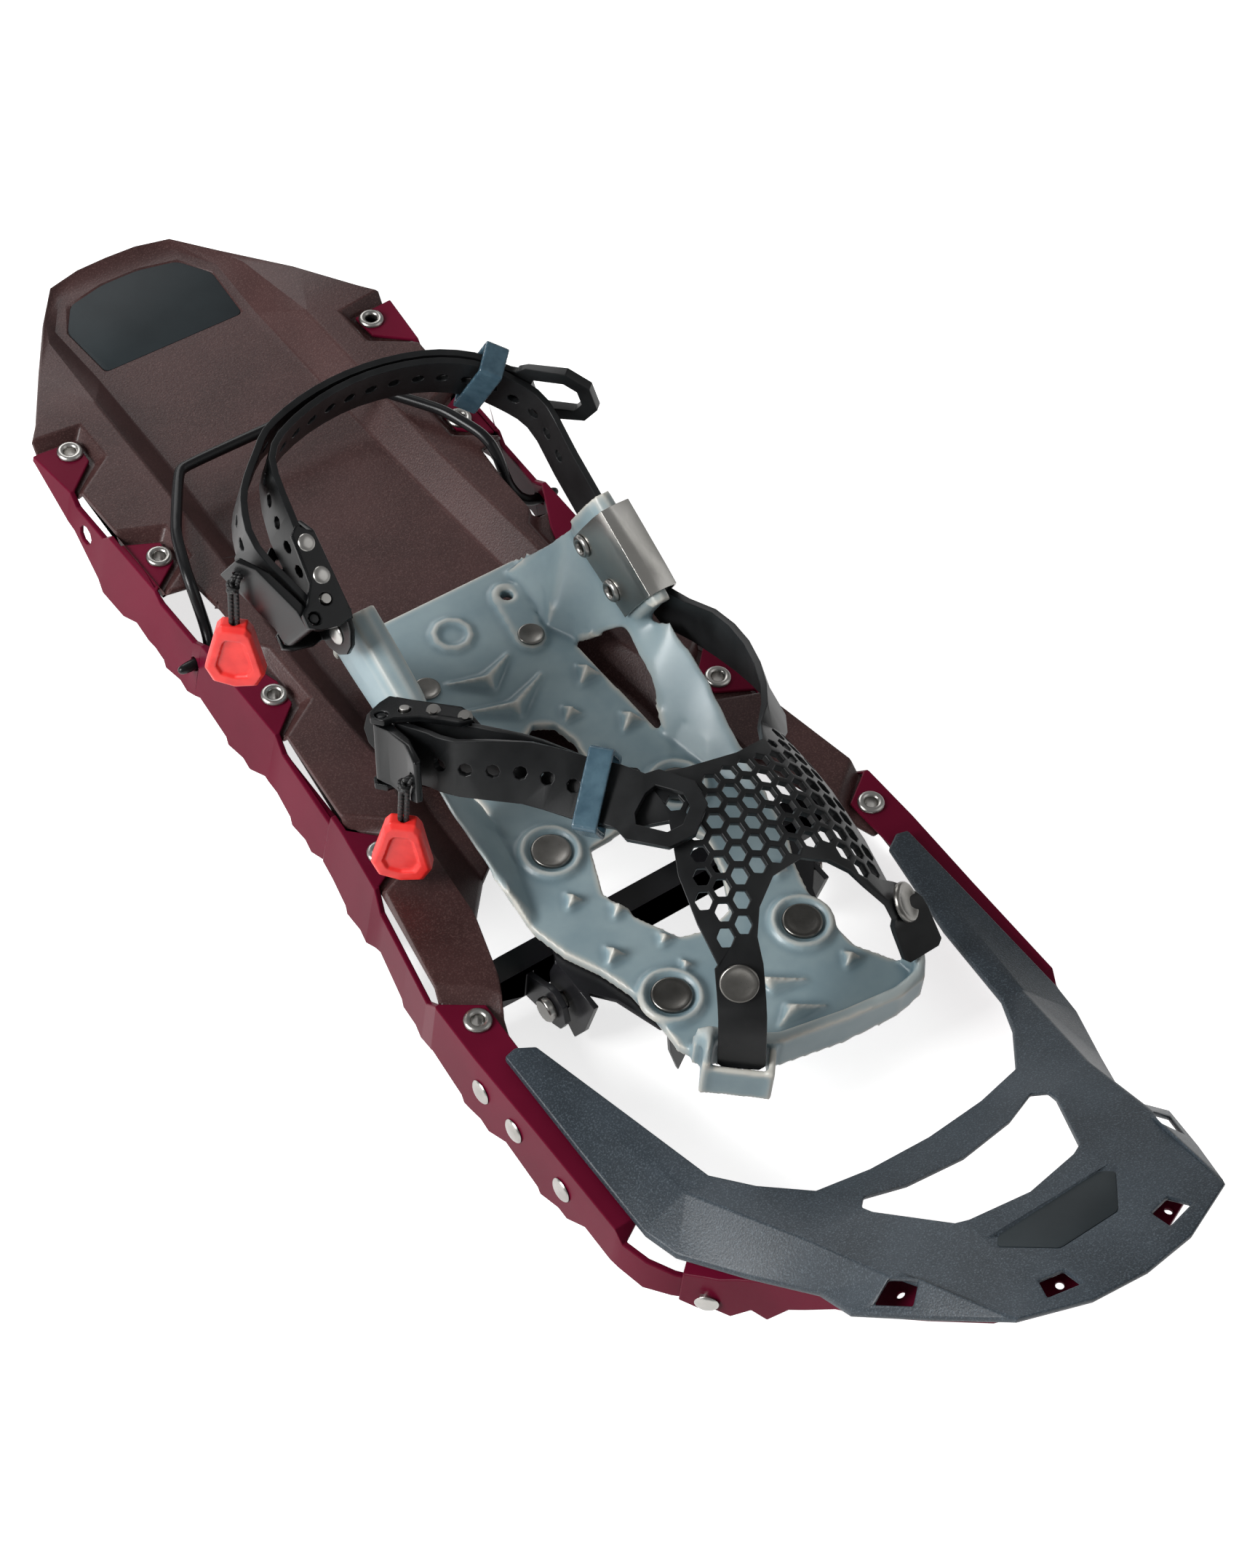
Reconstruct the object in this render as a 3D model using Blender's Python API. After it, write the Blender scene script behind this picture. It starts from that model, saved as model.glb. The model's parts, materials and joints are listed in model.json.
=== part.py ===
"""Backcountry snowshoe with toothed side rails, two moulded decks and a hinged boot binding.

Lengths are millimetres until a point is placed. X runs across the shoe, Y from the nose to the tail,
and heights are measured from the top of the rails' steel tabs, which stand TAB_HEIGHT over the tooth tips.
"""

import math

import bmesh
import bpy
from mathutils import Matrix, Vector
from mathutils.geometry import delaunay_2d_cdt

MM = 0.001
GAP = 0.3
SIDES = (-1, 1)
SIDE_NAMES = {-1: "outer", 1: "inner"}

TAB_HEIGHT = 31.0
STEEL = 1.6
DECK = 3.0
BED = 4.0
LAND = 3.0
POCKET = -2.0
FLOOR = -8.0

TOOTH_PITCH = 45.5
TOOTH_START = 152.0
TOOTH_PROFILE = ((0, -25), (19, -28.5), (21, -31), (31, -28.8), (36, -30.3))
BEND_LINE = ((229, 84), (205, 81.5), (170, 80.7), (118, 79.6), (59, 79), (8, 83), (-20, 87),
             (-50, 92.5), (-75, 97.2), (-100, 97.7), (-136, 97), (-181, 96.7))
# Each tab is its inner edge from the rear to the front, as (y, x), between its two ends on the bend.
RAIL_TABS = (
    ((229, 82), (227.6, 66), (215.4, 66.5), (204.4, 79.5)),
    ((170, 78.8), (163.6, 65.5), (152.7, 65.7), (143, 78.8)),
    ((110, 77.5), (89.6, 67.4), (80.4, 64.5), (68.3, 65.5), (58.7, 77)),
    ((7.5, 81), (-3.3, 70), (-13, 71.5), (-20, 84.8)),
    ((-74, 95), (-83, 81.6), (-105, 82.3), (-150, 82), (-181, 86)),
)
WALL_NOTCHES = ((200, 181, -5), (139, 116, -4), (53, 17, -6), (-26, -67, -8))
EYELETS = ((70.8, 223), (69.7, 156.9), (69.3, 74.8), (76.3, -8.1), (88.0, -87.2))
RAIL_RIVETS = ((-105, -13.5), (-124.5, -13), (-152.5, -13.5))

PIVOT = (-90.0, -12.0)
PIN_RADIUS = 3.0
LIFTER = (113.0, -12.5)
WIRE_RADIUS = 2.5

STRAP_WIDTH = 22.0
STRAP = 2.6
RUN_SPACING = STRAP + 0.8
HEX_PITCH = 7.6
HEX_RADIUS = 3.2
WEB_REAR = -80.0
WEB_FALL = 0.0048

BED_TOP = 8.0
BED_RIVETS = ((23.6, 41), (28.3, -46), (29, -120))
PAD_HOLE = (27.7, 63)
PAD_HEIGHT = 1.5

# Each wing ends in a hollow tube. Its ridge rises to the rear from WING_FRONT, given as (y, z).
WING_X = 52.2
WING_FRONT = (0.0, 51.5)
WING_AXIS = (0.894, 0.447)
WING_HALF = {-1: ((0, 5.2), (12, 7.0), (30, 7.3), (46, 7.1)), 1: ((0, 5.0), (12, 5.3), (30, 5.3), (46, 5.2))}
WING_DEPTH = ((0, 28), (12, 30), (30, 33), (46, 36))
STRAP_RISE = -15.0
TAIL_RISE = -16.5
CLIP_PLACES = (4, 12, 30, 40)
CLIP_EYELETS = ((14.8, -21.0), (35.0, -24.0))

# The front deck's rim, the rim's height, its crease and its middle height, each against y.
FRONT_EDGE = ((-105, 89.7), (-190, 90.5), (-203, 88), (-248, 66), (-264, 68), (-307, 43.3))
FRONT_EDGE_Z = ((-105, 3.5), (-190, 4), (-203, 6.5), (-248, 27), (-264, 40), (-307, 76.5))
FRONT_CREASE = ((-108, 78), (-186, 68), (-230, 61), (-307, 43.2))
FRONT_CENTRE_Z = ((-108, 4.2), (-150, 8), (-188, 14.7), (-217, 26.7), (-231, 36), (-239, 41), (-263, 54.5),
                  (-304, 75), (-318, 80))

# Strips that leave the toe web's plan, where u runs across the arch and v towards the nose.
HALF = STRAP_WIDTH / 2
LEG_HALF = 8.3
STRAP_AT = -24.5
TAIL_AT, TAIL_MIDDLE = -12.0, 47.0
LEG_AT, LEFT_LEG, RIGHT_LEG = 58.0, -29.0, 37.0
LEG_RIVET = 10.0
HOLE_STEP = 9.5

# Buckles: the roller's place, the way of the strap that arrives, the strap's width and the outward side.
TURN = STRAP / 2 + 2.1
FORE_ORIGIN = (-63, -5.9, 54.2)
FORE_ALONG = Vector((0.545, -0.81, 0.21)).normalized()
FORE_OUT = FORE_ALONG.cross(Vector((0.087, 0.41, 0.91))).normalized()
FORE_UP = FORE_OUT.cross(FORE_ALONG)
FORE_TILT = math.radians(12)
HEEL_ORIGIN = (-67.3, 46.2, 77)
HEEL_ALONG = Vector((0.06, 0.86, 0.5)).normalized()
HEEL_OUT = Vector((0.1, -0.49, 0.86)).cross(HEEL_ALONG).normalized()
HEEL_UP = HEEL_ALONG.cross(HEEL_OUT)
HEEL_TILT = math.radians(22)
EAR_INNER, EAR_OUTER = 11.9, 14.4
PLATE_TOP = -STRAP / 2 - 0.5
PLATE = 2.2
STUD_AT = -11.0
CORD_DROP, CORD_SEAT = 22.0, 5.0
TAB_FACING = (-0.66, -0.75, 0)

PANEL_Y = -283.0
STUDS = ((30.4, 15, 5), (31, -12, 5), (-30, 10, 5), (13.6, 2, 4), (-36, -94.5, 4.5), (36, -97, 4.5),
         (33, -142, 4.5), (-17, -112, 4))
# Two posts and a wall that hold the end of the web's outer leg, in a frame square to the leg.
POST_PLACE = (-26.3, -156.2, 0)
POST_ACROSS = (0.755, -0.655, 0)
POST_FOOT, POST_STEP = -4, 0.2
TOE_POSTS = ((((-13.2, -5.2), (-10.4, -5.2), (-10.4, 7), (-13.2, 7)), 24),
             (((-12, -4.9), (11.2, -4.9), (11.2, -2.7), (-12, -2.7)), 11.6),
             (((9.6, -5.1), (12, -5.1), (12, 9.5), (9.6, 9.5)), 12.4))

for old in list(bpy.data.objects):
    bpy.data.objects.remove(old, do_unlink=True)


def finish(name, colour, roughness, metallic=0.0):
    """A Principled material in a colour given as sRGB hex."""
    material = bpy.data.materials.new(name)
    material.use_nodes = True
    shader = material.node_tree.nodes["Principled BSDF"]
    channels = [int(colour[k:k + 2], 16) / 255 for k in (1, 3, 5)]
    linear = [c / 12.92 if c <= 0.04045 else ((c + 0.055) / 1.055) ** 2.4 for c in channels]
    shader.inputs["Base Color"].default_value = (*linear, 1.0)
    shader.inputs["Roughness"].default_value = roughness
    shader.inputs["Metallic"].default_value = metallic
    material.diffuse_color = (*linear, 1.0)
    return material


TAIL_PLASTIC = finish("tail_plastic", "#463033", 0.6)
NOSE_PLASTIC = finish("nose_plastic", "#3b444b", 0.55)
RAIL_STEEL = finish("rail_steel", "#5e1530", 0.4, 0.4)
BLACK_STEEL = finish("black_steel", "#1c1e20", 0.45, 0.5)
BED_PLASTIC = finish("bed_plastic", "#a0b2b8", 0.45)
STRAP_RUBBER = finish("strap_rubber", "#1d1f21", 0.55)
BUCKLE_PLASTIC = finish("buckle_plastic", "#17181a", 0.4)
KEEPER_PLASTIC = finish("keeper_plastic", "#6f8a97", 0.35)
TAB_PLASTIC = finish("tab_plastic", "#e8352e", 0.45)
CORD_FABRIC = finish("cord_fabric", "#141414", 0.8)
BRIGHT_STEEL = finish("bright_steel", "#b9b9b5", 0.3, 1.0)


def place(point):
    """A point of the shoe in metres over the ground."""
    return Vector((point[0], point[1], point[2] + TAB_HEIGHT)) * MM


def axes_at(origin, along, up):
    """A frame in metres whose X is along, whose Y leans to up and whose Z is their normal."""
    x = Vector(along).normalized()
    z = x.cross(Vector(up)).normalized()
    y = z.cross(x)
    frame = Matrix((x, y, z)).transposed().to_4x4()
    frame.translation = place(origin)
    return frame


def solid(name, shape, material, frame=None):
    """An object from points and faces, in the shoe's millimetres or in those of a frame."""
    points, faces = shape
    mesh = bpy.data.meshes.new(name)
    mesh.from_pydata([place(p) if frame is None else Vector(p) * MM for p in points], [], faces)
    work = bmesh.new()
    work.from_mesh(mesh)
    bmesh.ops.remove_doubles(work, verts=work.verts, dist=1e-7)
    bmesh.ops.delete(work, geom=[v for v in work.verts if not v.link_faces], context="VERTS")
    bmesh.ops.recalc_face_normals(work, faces=work.faces)
    work.to_mesh(mesh)
    work.free()
    mesh.materials.append(material)
    thing = bpy.data.objects.new(name, mesh)
    if frame is not None:
        thing.matrix_world = frame
    bpy.context.collection.objects.link(thing)
    return thing


def combine(thing, others, operation):
    """Keeps a Boolean with each of the other objects, which become hidden helpers."""
    for other in others:
        other.hide_render = True
        other.display_type = "WIRE"
        modifier = thing.modifiers.new(other.name, "BOOLEAN")
        modifier.operation = operation
        modifier.object = other
    return thing


def inside(loop, x, y):
    """Whether a point of the plan lies in a closed loop."""
    found = False
    for a, b in zip(loop, (*loop[1:], loop[0])):
        if (a[1] > y) != (b[1] > y) and x < a[0] + (b[0] - a[0]) * (y - a[1]) / (b[1] - a[1]):
            found = not found
    return found


def sheet(outline, lift, holes=(), creases=()):
    """A closed sheet: a plan with holes and creases, whose points lift places on both faces."""
    points, edges = [], []
    for line, loops in [(outline, True), *((h, True) for h in holes), *((c, False) for c in creases)]:
        first, count = len(points), len(line)
        points.extend(line)
        edges.extend((first + k, first + (k + 1) % count) for k in range(count if loops else count - 1))
    flat = [Vector(p[:2]) for p in points]
    plan, _, triangles, sources, _, _ = delaunay_2d_cdt(flat, edges, [], 0, 1e-4)
    kept = []
    for triangle in triangles:
        x = sum(plan[k].x for k in triangle) / 3
        y = sum(plan[k].y for k in triangle) / 3
        if inside(outline, x, y) and not any(inside(hole, x, y) for hole in holes):
            kept.append(tuple(triangle))
    origins = [points[s[0]] if s else tuple(p) for p, s in zip(plan, sources)]
    count = len(origins)
    used = {}
    for triangle in kept:
        for a, b in zip(triangle, triangle[1:] + triangle[:1]):
            used[a, b] = used.get((a, b), 0) + 1
    rim = [(a, b) for a, b in used if (b, a) not in used]
    faces = [*kept, *(tuple(k + count for k in reversed(t)) for t in kept)]
    faces += [(b, a, a + count, b + count) for a, b in rim]
    return [lift(p, 1) for p in origins] + [lift(p, 0) for p in origins], faces


def loft(rings, loop=False):
    """A skin over rings of equal counts, capped unless the rings close on themselves."""
    count, sides = len(rings), len(rings[0])
    faces = []
    for k in range(count if loop else count - 1):
        here, there = k * sides, (k + 1) % count * sides
        for j in range(sides):
            n = (j + 1) % sides
            faces.append((here + j, here + n, there + n, there + j))
    if not loop:
        faces += [tuple(reversed(range(sides))), tuple(range((count - 1) * sides, count * sides))]
    return [p for ring in rings for p in ring], faces


def prism(outline, low, high):
    """An outline in the XY plane drawn out between two heights."""
    return loft([[(x, y, z) for x, y in outline] for z in (low, high)])


def turned(profile, sides):
    """A closed profile of (radius, height) points spun round Z."""
    rings = []
    for k in range(sides):
        c, s = math.cos(math.tau * k / sides), math.sin(math.tau * k / sides)
        rings.append([(r * c, r * s, z) for r, z in profile])
    return loft(rings, loop=True)


def arc(x, y, radius, degrees):
    """Points on a circle of the plan, at angles given in degrees."""
    turns = [math.radians(a) for a in degrees]
    return [(x + radius * math.cos(a), y + radius * math.sin(a)) for a in turns]


def circle(x, y, radius, count=10, turn=0.0):
    return arc(x, y, radius, [turn + 360 * k / count for k in range(count)])


def upright(outline, side, near, far):
    """A plate whose outline is given as (y, z), drawn out between two places across the shoe."""
    return loft([[(side * x, y, z) for y, z in outline] for x in (near, far)])


def crosswise(outline, side, front, rear):
    """A plate whose outline is given as (x, z), drawn out between two places along the shoe."""
    return loft([[(side * x, y, z) for x, z in outline] for y in (front, rear)])


def rod(length, radius, count=14):
    """A round bar along the frame's Y, centred on it."""
    half = length / 2
    return loft([[(x, y, z) for x, z in circle(0, 0, radius, count)] for y in (-half, half)])


def between(table, key):
    """Linear reading of (key, value) pairs, whose keys may fall or rise."""
    rows = sorted(table)
    if key <= rows[0][0]:
        return rows[0][1]
    for (a, low), (b, high) in zip(rows, rows[1:]):
        if key <= b:
            return low + (high - low) * (key - a) / (b - a)
    return rows[-1][1]


def mirrored(points):
    """The points given for +X, then their mirror images back to the start."""
    return [*points, *((-x, *rest) for x, *rest in reversed(points) if x)]


def rivet(name, point, facing, grip, head, shank=2.0, tail=2.8, material=BRIGHT_STEEL):
    """A domed rivet whose head faces outward, through a stack of the given thickness."""
    top = 0.42 * head
    profile = [(0, top), (0.55 * head, 0.8 * top), (head, GAP + 0.5), (head, GAP), (shank, GAP)]
    if tail:
        profile += [(shank, -grip - GAP), (tail, -grip - GAP), (tail, -grip - 1.3), (0, -grip - 1.3)]
    else:
        profile += [(shank, -grip), (0, -grip)]
    return solid(name, turned(profile, 8), material, facing_frame(point, facing))


def eyelet(name, point, facing, grip, head=5.2, bore=2.3, flange=1.0):
    """A rolled eyelet, open through the middle, with or without a flange behind."""
    outer = bore + 0.8
    profile = [(bore, 0.9), (0.7 * head, 1.7), (head, 0.9), (head, GAP), (outer, GAP)]
    if flange:
        profile += [(outer, -grip - GAP), (outer + flange, -grip - GAP), (outer + flange, -grip - 1.1)]
    else:
        profile.append((outer, -grip))
    profile.append((bore, profile[-1][1]))
    return solid(name, turned(profile, 8), BRIGHT_STEEL, facing_frame(point, facing))


def facing_frame(point, facing):
    frame = Vector((0, 0, 1)).rotation_difference(Vector(facing).normalized()).to_matrix().to_4x4()
    frame.translation = place(point)
    return frame


def drill(name, point, facing, radius, reach):
    """A hidden round cutter through a point."""
    shape = prism(circle(0, 0, radius, 9), -reach, reach)
    return solid(name, shape, BRIGHT_STEEL, facing_frame(point, facing))


# Rails and nose strap: angle sections whose flange and toothed wall change along the bend.


def angle_ring(x, y, inward, top, flange, rise, bottom, lean):
    """The six corners of a bent strip at one station."""
    def corner(offset, height):
        return (x + inward[0] * offset, y + inward[1] * offset, height)
    return [corner(-lean, bottom), corner(0, top), corner(flange, top + rise),
            corner(flange, top + rise - STEEL), corner(STEEL, top - STEEL), corner(STEEL - lean, bottom)]


def tooth_bottom(y):
    if y > TOOTH_START:
        return between(((228.5, -2.5), (176, -29.6), (161, -29.3), (TOOTH_START, -25)), y)
    phase = (TOOTH_START - y) % TOOTH_PITCH
    rise = 8 * min(1, max(0, (-140 - y) / 35))
    return between((*TOOTH_PROFILE, (TOOTH_PITCH, TOOTH_PROFILE[0][1])), phase) + rise


def rail_stations():
    ys = {y for y, _ in BEND_LINE} | {176, 161}
    ys |= {y for tab in RAIL_TABS for y, _ in tab}
    for high, low, _ in WALL_NOTCHES:
        ys |= {high, low}
    teeth = math.ceil((TOOTH_START + 181) / TOOTH_PITCH)
    ys |= {TOOTH_START - TOOTH_PITCH * k - q for k in range(teeth) for q, _ in TOOTH_PROFILE}
    return sorted((y for y in ys if -181 <= y <= 229), reverse=True)


def rail(side):
    rings = []
    for y in rail_stations():
        x = between(BEND_LINE, y)
        top, inner = 0.0, x - STEEL - 0.6
        for tab in RAIL_TABS:
            if tab[-1][0] <= y <= tab[0][0]:
                inner = between(tab, y)
        for high, low, depth in WALL_NOTCHES:
            if low <= y <= high:
                top = depth
        bottom = tooth_bottom(y)
        lean = (top - bottom) * between(((228, 0.16), (0, 0.14), (-75, 0.05), (-181, 0.03)), y)
        rings.append(angle_ring(side * x, y, (-side, 0), top, x - inner, 0, bottom, lean))
    corner = ((96.2, -185, 8, -20), (93.5, -195, 25, -21), (88.5, -204, 40, -18), (81, -212.5, 50, -16),
              (75, -217.5, 50, -11))
    for x, y, turn, bottom in corner:
        inward = (-side * math.cos(math.radians(turn)), math.sin(math.radians(turn)))
        rings.append(angle_ring(side * x, y, inward, -5, STEEL + 0.6, 0, bottom, 0.4))
    name = SIDE_NAMES[side]
    thing = solid(f"{name}_rail", loft(rings), RAIL_STEEL)
    holes = []
    for k, (x, y) in enumerate(EYELETS):
        holes.append(drill(f"{name}_rail_hole_{k}", (side * x, y, 0), (0, 0, 1), 3.5, 4))
    walls = [(192.4, -13, 4.0), (*LIFTER, 2.9), *((y, z, 2.4) for y, z in RAIL_RIVETS)]
    for k, (y, z, radius) in enumerate(walls):
        spot = (side * (between(BEND_LINE, y) + 1), y, z)
        holes.append(drill(f"{name}_wall_hole_{k}", spot, (side, 0, 0), radius, 7))
    holes.append(drill(f"{name}_nose_joint_hole", (side * 82, -214.5, -9), (side * 0.7, -0.7, 0), 2.4, 8))
    return combine(thing, holes, "DIFFERENCE")


def front_height(x, y):
    """The top of the front deck: a rising middle and cheeks that fall to the rim."""
    crease, middle = between(FRONT_CREASE, y), between(FRONT_CENTRE_Z, y)
    if abs(x) <= crease:
        return middle
    share = (abs(x) - crease) / max(1.0, between(FRONT_EDGE, y) - crease)
    return middle + (between(FRONT_EDGE_Z, y) - middle) * min(1.0, share)


def nose_strap():
    """The steel band under the nose, with a toothed skirt down each cheek."""
    half = []
    skirt = ((88.2, -207.5, 40, -16), (84.5, -213, 42, -17), (81.5, -218, 45, -13.5), (78, -222.5, 50, -15),
             (74.5, -228, 52, -6), (71.5, -233, 55, -8), (68.5, -238.5, 58, 4), (66, -243, 60, 8))
    for x, y, turn, bottom in skirt:
        inward = (-math.cos(math.radians(turn)), math.sin(math.radians(turn)))
        top = min(front_height(x - 1, y), front_height(x - 9, y + 6)) - DECK - 4.8
        half.append(angle_ring(x, y, inward, top, 10, 0.5, min(bottom, top - 3.2), 0.3))
    under = ((61.5, -252, 30), (59, -266, 30), (51, -281, 35), (41, -298, 45), (24, -305, 80),
             (8, -309, 88))
    for x, y, turn in under:
        inward = (-math.cos(math.radians(turn)), math.sin(math.radians(turn)))
        top = min(front_height(x + dx, y) for dx in (0, 4)) - DECK - 8.4
        half.append(angle_ring(x, y, inward, top, 16, -1.0, top - 3.4, 0))
    other = [[(-x, y, z) for x, y, z in ring] for ring in reversed(half)]
    thing = solid("nose_strap", loft([*half, *other]), RAIL_STEEL)
    holes = []
    for side in SIDES:
        spot = (side * 83, -215.5, -9)
        holes.append(drill(f"nose_strap_hole_{side}", spot, (side * 0.7, -0.7, 0), 2.4, 8))
    return combine(thing, holes, "DIFFERENCE")


# Decks: relief sheets, whose plan points carry their own height.


def relief(thickness):
    return lambda p, top: (p[0], p[1], p[2] if top else p[2] - thickness)


def deck_edge(y):
    return between(BEND_LINE, y) - 2.5


def tab_pocket(tab):
    """The step and the sunk floor that a rail's tab needs in the deck, each from the rear to the front."""
    (rear, _), (front, _) = tab[0], tab[-1]
    inner = min(x for _, x in tab)
    deep = [y for y, x in tab if x < inner + 4]
    lines = []
    for margin, inset, reach, height in ((5, 5, 4, LAND), (1.5, 1.5, 1.5, POCKET)):
        lines.append([(deck_edge(rear + margin), rear + margin, height),
                      (inner - inset, max(deep) + reach, height), (inner - inset, min(deep) - reach, height),
                      (deck_edge(front - margin), front - margin, height)])
    return lines


def rear_deck():
    half = [(0, 317.5, -5), (14, 317, -5), (28.5, 313.5, -5), (42.5, 295, -4), (60, 267, 1), (76, 241, LAND)]
    creases = []
    for number, tab in enumerate(RAIL_TABS[:4]):
        step, floor = tab_pocket(tab)
        half += [step[0], floor[0], floor[-1], step[-1]]
        creases += [step, floor]
        if number == 1:
            half += [(66.5, 136, LAND), (65, 120, LAND)]
    half += [(deck_edge(-40), -40, LAND), (deck_edge(-68), -68, LAND), (deck_edge(-72.5), -72.5, POCKET),
             (94, -97, POCKET), (81.5, -98, POCKET), (78.5, -90, POCKET), (75.5, -84, LAND), (72, -77, LAND),
             (64.5, -52, LAND), (49, -34, FLOOR), (30, -20, FLOOR), (0, -18, FLOOR)]
    creases += [[(deck_edge(-68), -68, LAND), (80, -78, LAND), (75.5, -84, LAND)],
                [(deck_edge(-72.5), -72.5, POCKET), (82, -82, POCKET), (78.5, -90, POCKET)]]
    ridge = [(46, 283, FLOOR + 5), (49.5, 239, LAND), (50.5, 204, LAND), (51, 145, LAND), (55, 84, LAND),
             (54, 25, LAND), (60, -1, LAND), (64.5, -52, LAND)]
    foot = [(28, 307.5), (38.5, 292), (37, 258), (38.5, 190), (41, 131), (44, 84), (44, 25), (48, 0),
            (49, -34)]
    creases += [ridge, [(x, y, FLOOR) for x, y in foot]]
    creases = [[(side * x, y, z) for x, y, z in crease] for side in SIDES for crease in creases]
    creases.append(mirrored([(0, 311, FLOOR), (28, 307.5, FLOOR)])[::-1])
    for inset, depth in ((0, FLOOR), (0.9, FLOOR - 0.7)):
        panel = mirrored([(33 - inset, 261 + inset, depth), (35 - inset, 289, depth),
                          (26 - inset, 303 - inset, depth), (9, 307 - inset, depth)])
        creases.append([*panel, panel[0]])
    holes = []
    for side in SIDES:
        holes += [[(px, py, POCKET) for px, py in circle(side * x, y, 3.5)] for x, y in EYELETS]
    thing = solid("rear_deck", sheet(mirrored(half), relief(DECK), holes, creases), TAIL_PLASTIC)
    y, _ = LIFTER
    swing = ((64.6, y - 15), (83, y - 15), (83, y + 9.3), (64.8, y + 9.3))
    slots = []
    for side in SIDES:
        shape = prism([(side * px, py) for px, py in swing], -20, 12)
        slots.append(solid(f"rear_deck_slot_{side}", shape, TAIL_PLASTIC))
    return combine(thing, slots, "DIFFERENCE")


def front_deck():
    half = [(0, -318, 80), (20, -316, 79.5), (43.3, -307, 76.5), (56, -286, 58.5), (68, -264.2, 40.2),
            (66, -248, 27), (77, -226, 16), (88, -203, 6.5), (90.5, -190, 4), (90.3, -150, 3.6),
            (89.7, -106, 3.5), (85, -105, 3.8), (78.5, -109, 4.2), (70, -150, 8), (64, -187.8, 14.7),
            (56, -202, 20.5), (43.3, -217.1, 26.7), (24, -221, 28), (0, -222.5, 28.6)]
    cheek = [(85, -105, 3.8), (82, -125, 5.5), (80, -150, 7), (74, -188, 13), (62, -230, 33), (52, -268, 54),
             (43.3, -307, 76.5)]
    creases = [cheek, [(64, -187.8, 14.7), (74, -188, 13)], [(62, -230, 33), (66, -248, 27)]]
    creases = [[(side * x, y, z) for x, y, z in line] for side in SIDES for line in creases]
    opening = mirrored([(0, -239, 38.5), (22, -236.5, 38), (35.9, -231.4, 36), (40, -235, 38.2),
                        (39.1, -239.5, 40.8), (26.5, -262, 54), (22, -264, 55), (0, -267.5, 56.5)])
    panel = mirrored([(23, -275), (27, -279), (13, -294)])
    for scale, sink in ((1, 0), (0.92, 0.8)):
        rim = [(x * scale, PANEL_Y + (y - PANEL_Y) * scale) for x, y in (*panel, panel[0])]
        creases.append([(x, y, front_height(x, y) - sink) for x, y in rim])
    windows = []
    for x, y, turn in ((23.3, -304, 12), (56.7, -271.4, 60)):
        c, s = math.cos(math.radians(turn)), math.sin(math.radians(turn))
        frame = ((-6, -3.5), (6, -3.5), (4.5, 4), (-4.5, 4))
        corners = [(x + c * a - s * b, y + s * a + c * b) for a, b in frame]
        windows += [[(side * px, py, front_height(px, py)) for px, py in corners] for side in SIDES]
    shape = sheet(mirrored(half), relief(DECK), [opening, *windows], creases)
    return solid("front_deck", shape, NOSE_PLASTIC)


# Binding carriers: the crossbar between the rails, the pivot pins and the toe crampon.


def cross_bar():
    """A channel from rail to rail with an ear at each pivot."""
    y, (py, pz) = PIVOT[0] + 15, PIVOT
    rings = []
    half = ((94.6, -20, -6, 2.4), (89, -21.5, -7, 7), (80, -23, -8, 10), (62, -24, -10, 12))
    for x, low, high, flange in (*((-row[0], *row[1:]) for row in half), *reversed(half)):
        rings.append([(x, y, low), (x, y + STEEL, low), (x, y + STEEL, high - STEEL),
                      (x, y + flange, high - STEEL), (x, y + flange, high), (x, y, high)])
    bar = solid("cross_bar", loft(rings), BLACK_STEEL)
    ear = [(y + 1, -10.5), (y + 1, -23.5), *arc(py, pz, 9, (-70, -100, -135, 180, 135, 100, 70, 40))]
    end = [(y + 1.2, -6.5), (y + 1.2, -19), (-112, -18), (-114, -15), (-114, -9), (-112, -7)]
    pieces, holes = [], []
    for side in SIDES:
        pieces.append(solid(f"cross_bar_ear_{side}", upright(ear, side, 55.5, 58), BLACK_STEEL))
        pieces.append(solid(f"cross_bar_end_{side}", upright(end, side, 93.7, 95.1), BLACK_STEEL))
        holes.append(drill(f"cross_bar_hole_{side}", (side * 57, py, pz), (1, 0, 0), PIN_RADIUS + GAP, 5))
        spot = (side * 94.5, *RAIL_RIVETS[0])
        holes.append(drill(f"cross_bar_rivet_hole_{side}", spot, (1, 0, 0), 2.4, 5))
    combine(bar, pieces, "UNION")
    return combine(bar, holes, "DIFFERENCE")


def pivot_pin(side):
    profile = [(0, 4.5), (4.2, 4.5), (4.8, 3.9), (4.8, 1.6), (PIN_RADIUS, 1.6), (PIN_RADIUS, -9.5),
               (4.4, -9.5), (4.4, -11), (0, -11)]
    frame = facing_frame((side * 57, *PIVOT), (side, 0, 0))
    return solid(f"{SIDE_NAMES[side]}_pivot_pin", turned(profile, 12), BRIGHT_STEEL, frame)


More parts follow.
